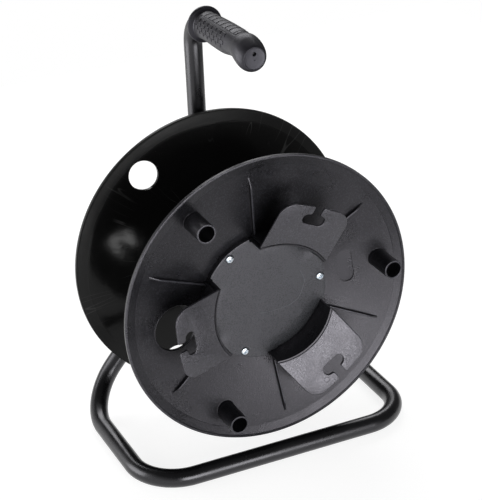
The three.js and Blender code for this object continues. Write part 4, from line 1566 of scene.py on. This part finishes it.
@dataclass
class CatchPlate:
    """A tilted catch plate with a keyhole notch, two pin marks and a curved foot.

    A mark's place is along the plate and across it, and its heights are its top and its foot.
    """

    ring: RingTree
    flange: FrontFlange
    inner_radius: float = 67.1
    foot_outer: float = 69.2
    foot_half_angle: float = 32.0
    foot_depth: float = 16.7
    foot_sunk: float = 0.9
    foot_gap: float = 0.02
    tip_radius: float = 112.3
    thickness: float = 2.6
    half_width: float = 39.0
    corner: float = 16.0
    edge_drop: float = 1.1
    lip_radius: float = 2.4
    notch_half_width: float = 4.7
    neck_length: float = 7.3
    shoulder_radius: float = 2.4
    lobe_radius: float = 5.3
    edge: float = 0.85
    mark_place: Flat = (103.5, 15.8)
    mark_radius: float = 3.0
    mark_width: float = 0.55
    mark_heights: Flat = (-0.22, 0.3)

    def half_outline(self) -> list[Flat]:
        """Half of the plate's edge, from the notch's floor to the inner corner.

        Returns:
            Places along the plate and across it.
        """
        lip = (self.tip_radius - self.lip_radius, self.notch_half_width + self.lip_radius)
        shoulder = (self.tip_radius - self.neck_length, self.notch_half_width + self.shoulder_radius)
        lobe = (shoulder[0] - self.shoulder_radius - self.lobe_radius, shoulder[1])
        corner = (self.tip_radius - self.edge_drop - self.corner, self.half_width - self.corner)
        return [
            *arc(lobe, self.lobe_radius, 180.0, 0.0, 20),
            *arc(shoulder, self.shoulder_radius, 180.0, 270.0, 8)[1:],
            *arc(lip, self.lip_radius, -90.0, 0.0, 8),
            *arc(corner, self.corner, 0.0, 90.0, 20),
        ]

    def outline(self) -> list[Flat]:
        """The whole edge of the plate, with an inner edge that is round the axle.

        Returns:
            Places along the plate and across it.
        """
        side = self.half_outline()
        half = math.degrees(math.asin(self.half_width / self.inner_radius))
        return [*side, *arc(AXLE, self.inner_radius, half, -half, 48), *((u, -v) for u, v in reversed(side))]

    def plate(self) -> Object:
        """The plate round +X, with softened edges and its pin marks.

        Returns:
            The plate with its marks.
        """
        tilt, plane = math.radians(self.flange.catch_tilt), self.flange.catch_plane
        back = self.thickness / math.cos(tilt)
        shell = slab(self.outline(), lambda p: plane(p[0]), lambda p: plane(p[0]) + back)
        parts = [eased(meshed("plate", shell, about_axle=False), self.edge)]
        inner, outer, (top, foot) = self.mark_radius - self.mark_width, self.mark_radius, self.mark_heights
        profile = softened([(inner, foot, 0.0), (outer, foot, 0.0), (outer, top, 0.2), (inner, top, 0.2)], 3)
        mark = turned(profile, 40).bent(lambda p: (p[0], p[1] - p[0] * math.tan(tilt), p[2]))
        u, v = self.mark_place
        for side in (v, -v):
            parts.append(meshed("mark", mark.moved(u, plane(u), side), about_axle=False))
        return united("plate", parts)

    def foot(self) -> Shell:
        """The curved foot round +X, from the plate to the hub.

        Returns:
            The foot.
        """
        inner, outer, base = self.inner_radius, self.foot_outer, DRUM.front(self.foot_depth)

        def profile(x: float) -> list[Flat]:
            """The foot's section, for the cosine of an angle from its middle."""
            near, top = inner + self.foot_gap, self.flange.catch_plane(inner * x) + self.foot_sunk
            return softened([(near, base, 0.3), (near, top, 0.0), (outer, top, 0.0), (outer, base, 0.3)], 2)

        return curved(self.foot_half_angle, 40, profile)

    def build(self, index: int) -> Object:
        """Builds one of the three catches.

        Args:
            index: Its number, from 1.

        Returns:
            The piece.
        """
        seed = united("catch", [self.plate(), meshed("foot", self.foot(), about_axle=False)])
        angle = DRUM.first_catch + THIRDS[index - 1]
        grown = self.ring.ring(seed, f"catch_{index}", FINISHES.catch, 1, angle)
        grown.name = f"catch_plate_{index}"
        return dressed(grown, FINISHES.catch, Body.DRUM, [f"cable_catch_{index}"])


class ScrewCircle(NamedTuple):
    """A circle of three screws: the angle of the first, the seat along Y and the seed of the turns."""

    kind: str
    radius: float
    first: float
    seat: float
    length: float
    facing: Facing
    seed: int


@dataclass
class PanScrews:
    """Pan head screws with a cross recess, in circles round the axle.

    The crown's knots are parts of the head's radius and height.
    """

    tree: ScrewTree
    head_radius: float = 4.3
    head_height: float = 2.4
    shank_radius: float = 2.0
    thread_start: float = 1.0
    thread_step: float = 0.5
    thread_depth: float = 0.45
    thread_clear: float = 2.5
    tip_length: float = 0.6
    recess_length: float = 4.6
    recess_width: float = 1.0
    recess_depth: float = 1.2
    crown: Sequence[Flat] = ((0.0, 1.0), (0.42, 0.985), (0.74, 0.86), (0.93, 0.6), (0.99, 0.3))
    circles: Sequence[ScrewCircle] = (
        ScrewCircle("cover_screw", DRUM.cover_screw_circle, DRUM.first_stub, DRUM.front(11.4), 17.8,
                    Facing.FRONT, 4),
        ScrewCircle("front_flange_screw", DRUM.flange_screw_circle, DRUM.first_catch, DRUM.front(16.7), 12.5,
                    Facing.FRONT, 7),
        ScrewCircle("rear_flange_screw", DRUM.flange_screw_circle, DRUM.first_stub, DRUM.rear(16.7), 12.5,
                    Facing.REAR, 9),
    )

    def screw(self, length: float) -> Object:
        """One screw that looks along -Y, with the seat of its head at the origin.

        Args:
            length: Its length under the head.

        Returns:
            The screw.
        """
        radius, top, shank = self.head_radius, -self.head_height, self.shank_radius
        crown = smooth_line([(radius * across, top * up) for across, up in self.crown], 4)
        stem = [(radius, top * 0.15), (radius * 0.99, -0.03), (radius * 0.96, 0.0), (shank, 0.0)]
        thread = [(shank - self.thread_depth * (i % 2), self.thread_start + i * self.thread_step)
                  for i in range(int((length - self.thread_clear) / self.thread_step))]
        tip = [(shank * 0.5, length - self.tip_length), (0.0, length)]
        body = meshed("screw", turned([*crown, *stem, *thread, *tip], 40, closed=False), about_axle=False)
        half, side = self.recess_length / 2, self.recess_width / 2
        box = slab([(half, side), (-half, side), (-half, -side), (half, -side)],
                   lambda _: top - 1.0, lambda _: top + self.recess_depth)
        turns = (Matrix.Rotation(math.radians(across), 4, "Y") for across in (0.0, 90.0))
        return pierced(body, [meshed("slot", box.placed(turn), about_axle=False) for turn in turns])

    def circled(self, row: ScrewCircle) -> Object:
        """Builds a circle of three screws.

        Args:
            row: What the circle is like.

        Returns:
            The piece.
        """
        grown = self.tree.grow(
            self.screw(row.length), row.kind, FINISHES.zinc, Count=3, First_Angle=math.radians(row.first),
            Circle_Radius=row.radius * MM, Seat=row.seat * MM, Axle_Height=AXLE_Z * MM,
            Facing=math.radians(row.facing.value), Seed=row.seed)
        grown.name = row.kind + "s"
        nodes = [f"{row.kind}_{i}" for i in (1, 2, 3)]
        return dressed(grown, FINISHES.zinc, Body.DRUM, nodes, crease=32.0)

    def build(self) -> list[Object]:
        """Builds all nine screws."""
        return [self.circled(row) for row in self.circles]


# ---------------------------------------------------------------------------------------------
# The frame
# ---------------------------------------------------------------------------------------------


@dataclass
class FrameTube:
    """The one bent tube: from the grip down the mast, round the base and up to the mast."""

    tube: TubeTree
    bead: BeadTree
    radius: float = 9.6
    sides: int = 40
    mast_y: float = 92.0
    side_x: float = 148.5
    base_z: float = 9.62
    joint_z: float = 182.0
    handle_z: float = 424.2
    handle_rake: float = 1.8
    handle_length: float = 145.0
    bend_step: float = 5.0
    bends: Sequence[float] = (30.0, 40.0, 53.0, 48.0, 48.0, 53.0)
    weld_radius: float = 1.7
    weld_pitch: float = 1.3
    weld_unevenness: float = 0.12
    weld_seed: int = 3
    saddle_reach: float = 60.0
    saddle_points: int = 60
    saddle_halvings: int = 24

    def corners(self) -> list[Vector]:
        """The corners of the centre line.

        Returns:
            The corners, from the grip's end to the joint at the mast.
        """
        rake = math.radians(self.handle_rake)
        mast, side, base = self.mast_y, self.side_x, self.base_z
        reach, rise = self.handle_length * math.cos(rake), self.handle_length * math.sin(rake)
        return [Vector(corner) for corner in (
            (0.0, mast - reach, self.handle_z + rise), (0.0, mast, self.handle_z), (0.0, mast, self.joint_z),
            (side, mast, base), (side, -mast, base), (-side, -mast, base), (-side, mast, base),
            (0.0, mast, self.joint_z),
        )]

    def bend(self, before: Vector, corner: Vector, after: Vector, radius: float) -> list[Vector]:
        """Points along the arc that rounds one corner.

        Args:
            before: The corner before it.
            corner: The corner.
            after: The corner after it.
            radius: The radius of the bend.

        Returns:
            The points, from the first straight run to the second.
        """
        into, out = (corner - before).normalized(), (after - corner).normalized()
        angle, axis = into.angle(out), into.cross(out).normalized()
        start = corner - into * radius * math.tan(angle / 2)
        centre = start + axis.cross(into) * radius
        steps = max(4, round(math.degrees(angle) / self.bend_step))
        turns = (Matrix.Rotation(angle * i / steps, 3, axis) for i in range(steps + 1))
        return [centre + turn @ (start - centre) for turn in turns]

    def centre_line(self) -> list[Vector]:
        """The whole centre line.

        Returns:
            The points of the line.
        """
        corners = self.corners()
        line = [corners[0]]
        for i, radius in enumerate(self.bends):
            line += self.bend(*corners[i:i + 3], radius)
        return line + [corners[-1]]

    def saddle(self, line: Sequence[Vector]) -> list[Place]:
        """The line along which the left leg meets the mast.

        Args:
            line: The centre line.

        Returns:
            The points of the seam.
        """
        joint = line[-1]
        leg = (line[-2] - joint).normalized()
        side = leg.cross(Vector((0.0, 1.0, 0.0))).normalized()
        other = leg.cross(side)
        stem = line[: len(line) // 2]
        seam: list[Place] = []
        for x, z in arc(AXLE, self.radius, 0.0, 360.0, self.saddle_points):
            ring = joint + side * x + other * z
            inside, outside = 0.0, self.saddle_reach
            for _ in range(self.saddle_halvings):
                middle = (inside + outside) / 2
                point = ring + leg * middle
                gap = min(self.gap(point, a, b) for a, b in zip(stem, stem[1:]))
                inside, outside = (middle, outside) if gap < self.radius else (inside, middle)
            seam.append(tuple(ring + leg * inside))
        return seam

    @staticmethod
    def gap(point: Vector, start: Vector, end: Vector) -> float:
        """The distance of a point from a straight run.

        Args:
            point: The point.
            start: The run's first end.
            end: Its other end.

        Returns:
            The distance.
        """
        run = end - start
        share = min(1.0, max(0.0, (point - start).dot(run) / max(run.length_squared, 1e-9)))
        return (point - start - run * share).length

    def build(self) -> Object:
        """Builds the tube with its weld.

        Returns:
            The piece.
        """
        line = self.centre_line()
        pipe = self.tube.grow(strung("route", line), "pipe", FINISHES.paint, Radius=self.radius * MM,
                              Sides=self.sides)
        weld = self.bead.grow(
            strung("seam", self.saddle(line)), "weld", FINISHES.paint, Radius=self.weld_radius * MM,
            Pitch=self.weld_pitch * MM, Unevenness=self.weld_unevenness, Seed=self.weld_seed)
        return dressed(united("bent_tube", [pipe, weld]), FINISHES.paint, Body.FRAME, ["frame_tube"])


@dataclass
class HandleGrip:
    """The rubber grip: a smooth turned skin, a ladder panel on top and staggered blocks on both sides.

    Its shares are a place along the skin, a radius and a droop, as parts of the whole. A hole in
    its end has a radius, a rise and a depth. The end rung has a length and an inset.
    """

    wrap: WrapTree
    length: float = 119.0
    radius: float = 14.8
    bore: float = 10.05
    floor_radius: float = 4.0
    cap: float = 4.0
    droop: float = 4.1
    start_y: float = 61.7
    start_z: float = 425.15
    rake: float = 1.8
    sides: int = 80
    holes: Sequence[Place] = ((2.2, 4.5, 5.0), (0.6, -1.6, 1.4))
    panel_start: float = 8.4
    panel_overlap: float = 0.4
    ladder_end: float = 95.2
    block_end: float = 79.6
    ladder_half_angle: float = 31.6
    ladder_margin: float = 4.6
    end_rung: Flat = (4.2, 4.3)
    block_angles: Flat = (40.4, 99.1)
    rung_pitch: float = 10.1
    rung_count: int = 8
    groove_shade_width: float = 1.3
    groove_shade_reach: float = 0.85
    stroke_width: float = 2.3
    row_angle: float = 15.0
    row_overlap: float = 0.2
    row_blocks: tuple[int, int] = (7, 6)
    first_row: float = 48.0
    relief: float = 0.6
    pad_steps: int = 14
    shares: Sequence[Place] = (
        (0.0, 1.14, 0.0), (0.012, 1.25, 0.0), (0.034, 1.25, 0.0), (0.05, 1.05, 0.0), (0.075, 0.95, 0.0),
        (0.21, 0.955, -0.1), (0.34, 0.99, -0.1), (0.46, 1.01, -0.1), (0.56, 1.0, -0.15),
        (0.65, 0.955, -0.38), (0.73, 0.925, -0.4), (0.79, 0.96, -0.32), (0.84, 1.04, -0.15),
        (0.895, 1.07, 0.3), (0.935, 1.04, 0.7), (0.965, 0.97, 0.92), (0.987, 0.88, 1.0), (1.0, 0.79, 1.0),
    )

    def rings(self) -> list[Place]:
        """The rings from the bore's floor over the skin to the end.

        Returns:
            A radius, a place along Y and a droop for each ring.
        """
        face, end, droop = self.shares[-1][1] * self.radius, -self.length, self.droop
        floor = end + self.cap
        return [
            (self.floor_radius, floor, 0.0), (self.bore, floor, 0.0), (self.bore, 0.0, 0.0),
            (self.radius * 1.05, 0.0, 0.0),
            *((self.radius * share, -self.length * place, droop * down)
              for place, share, down in smooth_line(self.shares, 6)),
            (face - 0.5, end - 0.1, droop), (face - 1.0, end + 0.35, droop),
            (face - 1.5, end + 0.45, droop), (self.floor_radius, end + 0.45, droop),
        ]

    def skin(self) -> Shell:
        """The grip's skin, bore and end, along -Y from its collar."""
        return lofted([[(x, y, z - down) for x, z in circle(radius, self.sides)]
                       for radius, y, down in self.rings()])

    def mark_grooves(self, skin: Object) -> None:
        """Marks the faces of the skin that are the floor of the grooves.

        Args:
            skin: The skin, on which the marked faces take the second finish.
        """
        low, high = self.block_angles
        for face in skin.data.polygons:
            x, y, z = face.center / MM
            angle = abs(math.degrees(math.atan2(x, z)))
            outside = math.hypot(x, z) > self.radius * self.groove_shade_reach
            ladder = angle < self.ladder_half_angle and self.panel_start < -y < self.ladder_end
            blocks = low < angle < high and self.panel_start < -y < self.block_end
            # The groove floor's faces take the second finish, painted dark as shade.
            face.material_index = int(outside and (ladder or blocks))

    def pad(self, width: float, length: float) -> Object:
        """A flat pad with soft edges, for wrapping.

        Args:
            width: Its size round the bar.
            length: Its size along the bar.

        Returns:
            The pad.
        """
        steps, half, reach = self.pad_steps, length / 2, width / 2
        sections = []
        for i in range(steps + 1):
            soft, high = (0.3, self.relief * 0.55) if i in (0, steps) else (0.0, self.relief)
            rise = [(-half + soft, -0.5), (-half + soft, high * 0.5), (-half + soft + 0.12, high * 0.88),
                    (-half + soft + 0.35, high), (-half * 0.33, high)]
            profile = rise + [(-y, z) for y, z in reversed(rise)]
            x = max(-reach, min(reach, (i - steps / 2) / (steps / 2 - 1) * (reach - 0.3)))
            sections.append([(x, y, z) for y, z in profile])
        return meshed("pad", lofted(sections), about_axle=False)

    def pattern(self, skin: Object, seed: Object, grid: tuple[int, int], pitch: Flat, first: Flat) -> Object:
        """Wraps a repeated seed round the skin.

        Args:
            skin: The skin that the pattern follows.
            seed: The flat piece that is repeated.
            grid: How many rows go round and how many columns go along.
            pitch: The distance between rows and between columns.
            first: The middle of the rows as an angle in degrees from the top, and the place along the
                grip of the first column.

        Returns:
            The wrapped pattern.
        """
        middle = first[1] + pitch[1] * (grid[1] - 1) / 2
        return self.wrap.grow(
            seed, "pattern", FINISHES.rubber, Skin=skin, Rows=grid[0], Columns=grid[1],
            Row_Pitch=pitch[0] * MM, Column_Pitch=pitch[1] * MM, Middle_Angle=math.radians(first[0]),
            Middle_Place=-middle * MM, Bar_Radius=self.radius * MM)

    def patterns(self, skin: Object) -> list[Object]:
        """The ladder's pads and the rows of blocks on both sides.

        Args:
            skin: The skin that they follow.

        Returns:
            The wrapped patterns.
        """
        degree = math.radians(1.0) * self.radius
        pitch, row = self.rung_pitch, self.row_angle * degree
        first = self.panel_start - self.panel_overlap + pitch / 2
        across = (self.ladder_half_angle - self.ladder_margin) * 2 * degree
        end_length, end_inset = self.end_rung
        rungs = [
            (pitch - self.groove_shade_width, self.rung_count, pitch, first),
            (end_length, 1, 1.0, self.ladder_end - end_inset),
        ]
        grown = [self.pattern(skin, self.pad(across, length), (1, count), (1.0, step), (0.0, start))
                 for length, count, step, start in rungs]
        for side in (-1.0, 1.0):
            rows = zip((0.0, self.row_angle), (first, first + pitch / 2), self.row_blocks)
            for turn, start, count in rows:
                block = self.pad(row + self.row_overlap, pitch - self.stroke_width)
                middle = side * (self.first_row + self.row_angle + turn)
                grown.append(self.pattern(skin, block, (2, count), (row * 2, pitch), (middle, start)))
        return grown

    def seated(self, piece: Object) -> Object:
        """Tilts a piece of the grip by the rake and moves it to the handle.

        Args:
            piece: The piece, which is made from the origin along -Y.

        Returns:
            The same piece.
        """
        move = Matrix.Translation((0.0, self.start_y * MM, self.start_z * MM))
        piece.data.transform(move @ Matrix.Rotation(-math.radians(self.rake), 4, "X"))
        return piece

    def build(self) -> Object:
        """Builds the grip with its pads, and its groove floors painted dark as shade.

        Returns:
            The piece.
        """
        skin = meshed("skin", self.skin(), about_axle=False)
        tools = []
        for radius, rise, depth in self.holes:
            bar = rod(radius, -self.length - 2.0, depth - self.length, 32)
            tools.append(meshed("tool", bar.moved(dz=rise - self.droop), about_axle=False))
        pierced(skin, tools)
        for finish in (FINISHES.rubber, FINISHES.groove_shade):
            skin.data.materials.append(finish.material())
        grown = self.patterns(skin)
        self.mark_grooves(skin)
        whole = self.seated(united("grip_body", [skin, *grown]))
        return dressed(whole, FINISHES.rubber, Body.FRAME, ["handle_grip"], second=FINISHES.groove_shade)


@dataclass
class AxlePlate:
    """The plate in front of the tubes that carries the spindle."""

    width: float = 84.0
    height: float = 90.0
    thickness: float = 4.0
    corner: float = 14.0
    front_y: float = 78.1
    bore: float = 8.4
    edge: float = 0.6

    def build(self) -> Object:
        """Builds the plate.

        Returns:
            The piece.
        """
        x, z = self.width / 2 - self.corner, self.height / 2 - self.corner
        outline: list[Flat] = []
        for i, centre in enumerate([(x, z), (-x, z), (-x, -z), (x, -z)]):
            outline += arc(centre, self.corner, 90.0 * i, 90.0 * (i + 1), 14)
        end = self.front_y + self.thickness
        plate = meshed("axle_plate_steel", slab(outline, lambda _: self.front_y, lambda _: end))
        pierced(plate, [DRUM.bored(self.bore, 0.0, 0.0, self.front_y - 2.0, end + 2.0)])
        return dressed(eased(plate, self.edge), FINISHES.paint, Body.FRAME, ["axle_plate"])


@dataclass
class AxleSet:
    """The spindle and the washer that show behind the drum, and the hidden running gear.

    An outline's corner has a radius, a place along Y and its rounding.
    """

    sides: int = 64
    spindle: Sequence[Corner] = (
        (0.0, -45.2, 0.0), (6.0, -45.2, 0.9), (6.0, -33.9, 0.2), (8.0, -33.9, 0.4), (8.0, 50.6, 0.3),
        (11.0, 50.6, 0.5), (11.0, 77.8, 0.5), (8.0, 77.8, 0.3), (8.0, 81.1, 0.7), (0.0, 81.1, 0.0),
    )
    washer: Sequence[Corner] = (
        (8.45, 48.8, 0.2), (15.0, 48.8, 0.4), (15.0, 50.3, 0.4), (8.45, 50.3, 0.2),
    )
    hidden: Sequence[tuple[str, Finish]] = (
        ("front_bush", FINISHES.bush), ("rear_bush", FINISHES.bush),
        ("front_thrust_washer", FINISHES.zinc), ("spindle_nut", FINISHES.zinc),
    )

    def build(self) -> list[Object]:
        """Builds the turned pieces and dresses the hidden ones.

        Returns:
            The pieces, with the solids that stay as they are.
        """
        bar = meshed("spindle_bar", turned(softened(self.spindle), self.sides, closed=False))
        disc = meshed("rear_washer_disc", turned(softened(self.washer), self.sides))
        made = [
            dressed(bar, FINISHES.steel, Body.FRAME, ["spindle"]),
            dressed(disc, FINISHES.zinc, Body.FRAME, ["rear_thrust_washer"]),
        ]
        for node, finish in self.hidden:
            kept = frame["nodes"][node]
            kept.data.materials.clear()
            kept.data.materials.append(finish.material())
            made.append(kept)
        return made


# ---------------------------------------------------------------------------------------------
# The studio
# ---------------------------------------------------------------------------------------------


class SoftBox(NamedTuple):
    """A lamp: its place, width and height in metres, and its power in watts."""

    name: str
    place: Place
    size: Flat
    watts: float


@dataclass
class Studio:
    """The camera, the lamps, the pale floor and the white surround, in metres."""

    camera_place: Place = (-0.646194, -1.467645, 0.987740)
    azimuth: float = -23.838
    elevation: float = 26.188
    roll: float = -2.603
    lens: float = 125.27
    sensor: float = 36.0
    clip: Flat = (0.05, 40.0)
    aim: Place = (0.0, 0.0, 0.2)
    boxes: Sequence[SoftBox] = (
        SoftBox("front", (0.11, -1.7, 0.14), (1.15, 1.24), 35.0),
        SoftBox("left", (-1.6, 0.55, 0.3), (1.3, 1.5), 25.0),
        SoftBox("back", (0.45, 1.6, 1.75), (1.9, 1.0), 29.0),
    )
    floor_edges: tuple[float, float, float, float] = (-0.8, 0.9, -0.34, 1.1)
    floor_albedo: float = 0.3
    floor_glow: float = 0.84
    world_light: float = 0.2
    bright_side: Place = (-0.8, 0.1, -0.6)
    room_fade: Flat = (0.0, 0.6)
    room_light: float = 0.1

    def camera(self) -> None:
        """Sets the camera up as the photograph was taken."""
        turn, tip, roll = (math.radians(angle) for angle in (self.azimuth, self.elevation, self.roll))
        back = Vector((math.sin(turn) * math.cos(tip), -math.cos(turn) * math.cos(tip), math.sin(tip)))
        right = (-back).cross(Vector((0.0, 0.0, 1.0))).normalized()
        up = right.cross(-back)
        rolled_right = right * math.cos(roll) + up * math.sin(roll)
        rolled_up = up * math.cos(roll) - right * math.sin(roll)
        data = bpy.data.cameras.new("view")
        data.lens, data.sensor_width, data.sensor_fit = self.lens, self.sensor, "AUTO"
        data.clip_start, data.clip_end = self.clip
        eye = shown("view", data)
        axes = Matrix((rolled_right, rolled_up, back)).transposed().to_4x4()
        eye.matrix_world = Matrix.Translation(self.camera_place) @ axes
        bpy.context.scene.camera = eye

    def lamps(self) -> None:
        """Adds the soft boxes."""
        for name, place, size, watts in self.boxes:
            data = bpy.data.lights.new(name, "AREA")
            data.shape, data.energy = "RECTANGLE", watts
            data.size, data.size_y = size
            box = shown(name, data)
            box.visible_camera = False
            box.location = place
            box.rotation_euler = (Vector(self.aim) - Vector(place)).to_track_quat("-Z", "Y").to_euler()

    @staticmethod
    def seen(sketch: Sketch, rays: Mapping[str, NodeSocket], glossy: NodeSocket) -> NodeSocket:
        """One for the eye and for what shows through clear things, and a value for reflections."""
        through = sketch.maths("MAXIMUM", glossy, rays["Is Transmission Ray"])
        return sketch.maths("MAXIMUM", rays["Is Camera Ray"], through)

    def surround(self) -> None:
        """Makes the world white to the eye, softer as a light and bright on one side in reflections."""
        world = bpy.data.worlds.new("surround")
        world.use_nodes = True
        bpy.context.scene.world = world
        world.node_tree.nodes.clear()
        sketch = Sketch(world.node_tree)
        rays = sketch.add("ShaderNodeLightPath").outputs
        way = sketch.add("ShaderNodeTexCoord").outputs["Generated"]
        facing = sketch.vector_maths("DOT_PRODUCT", way, self.bright_side).outputs["Value"]
        room = sketch.ranged(facing, *self.room_fade, self.room_light, 1.0)
        glossy = rays["Is Glossy Ray"]
        lit = sketch.times(sketch.maths("SUBTRACT", 1.0, glossy), self.world_light)
        strength = sketch.maths("MAXIMUM", self.seen(sketch, rays, sketch.times(glossy, room)), lit)
        light = sketch.add("ShaderNodeBackground", {"Color": WHITE, "Strength": strength})
        sketch.add("ShaderNodeOutputWorld", {"Surface": light})

    def floor(self) -> None:
        """Lays the pale floor, which keeps the object's shadow."""
        mesh = bpy.data.meshes.new("floor")
        left, right, front, back = self.floor_edges
        corners = [(left, front, 0.0), (right, front, 0.0), (right, back, 0.0), (left, back, 0.0)]
        mesh.from_pydata(corners, [], [(0, 1, 2, 3)])
        floor = shown("floor", mesh)
        pale = bpy.data.materials.new("pale_floor")
        pale.use_nodes = True
        pale.node_tree.nodes.clear()
        sketch = Sketch(pale.node_tree)
        matt = sketch.add("ShaderNodeBsdfDiffuse", {"Color": (*(self.floor_albedo,) * 3, 1.0)})
        rays = sketch.add("ShaderNodeLightPath").outputs
        strength = sketch.times(self.seen(sketch, rays, rays["Is Glossy Ray"]), self.floor_glow)
        glow = sketch.add("ShaderNodeEmission", {"Color": WHITE, "Strength": strength})
        both = sketch.add("ShaderNodeAddShader", {0: matt, 1: glow})
        sketch.add("ShaderNodeOutputMaterial", {"Surface": both})
        floor.data.materials.append(pale)
        floor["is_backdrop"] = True

    def build(self) -> None:
        """Builds the whole studio."""
        bpy.context.scene.view_settings.view_transform = "Standard"
        self.camera()
        self.lamps()
        self.surround()
        self.floor()


def main() -> None:
    """Builds the studio and then the model, one sub-assembly after another, and reports each piece."""
    logging.basicConfig(level=logging.INFO, format="%(name)s: %(message)s")
    Studio().build()
    ring, tube = RingTree(), TubeTree()
    flange = FrontFlange(ring)
    flange.build()
    RearFlange().build()
    CoreBarrel(ring).build()
    HubCover(tube).build()
    catch = CatchPlate(ring, flange)
    for index in (1, 2, 3):
        catch.build(index)
    PanScrews(ScrewTree()).build()
    FrameTube(tube, BeadTree()).build()
    HandleGrip(WrapTree()).build()
    AxlePlate().build()
    AxleSet().build()
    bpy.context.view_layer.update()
    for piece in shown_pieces():
        log.info("%s: %d faces", piece.name, len(piece.data.polygons))


if __name__ == "__main__":
    main()
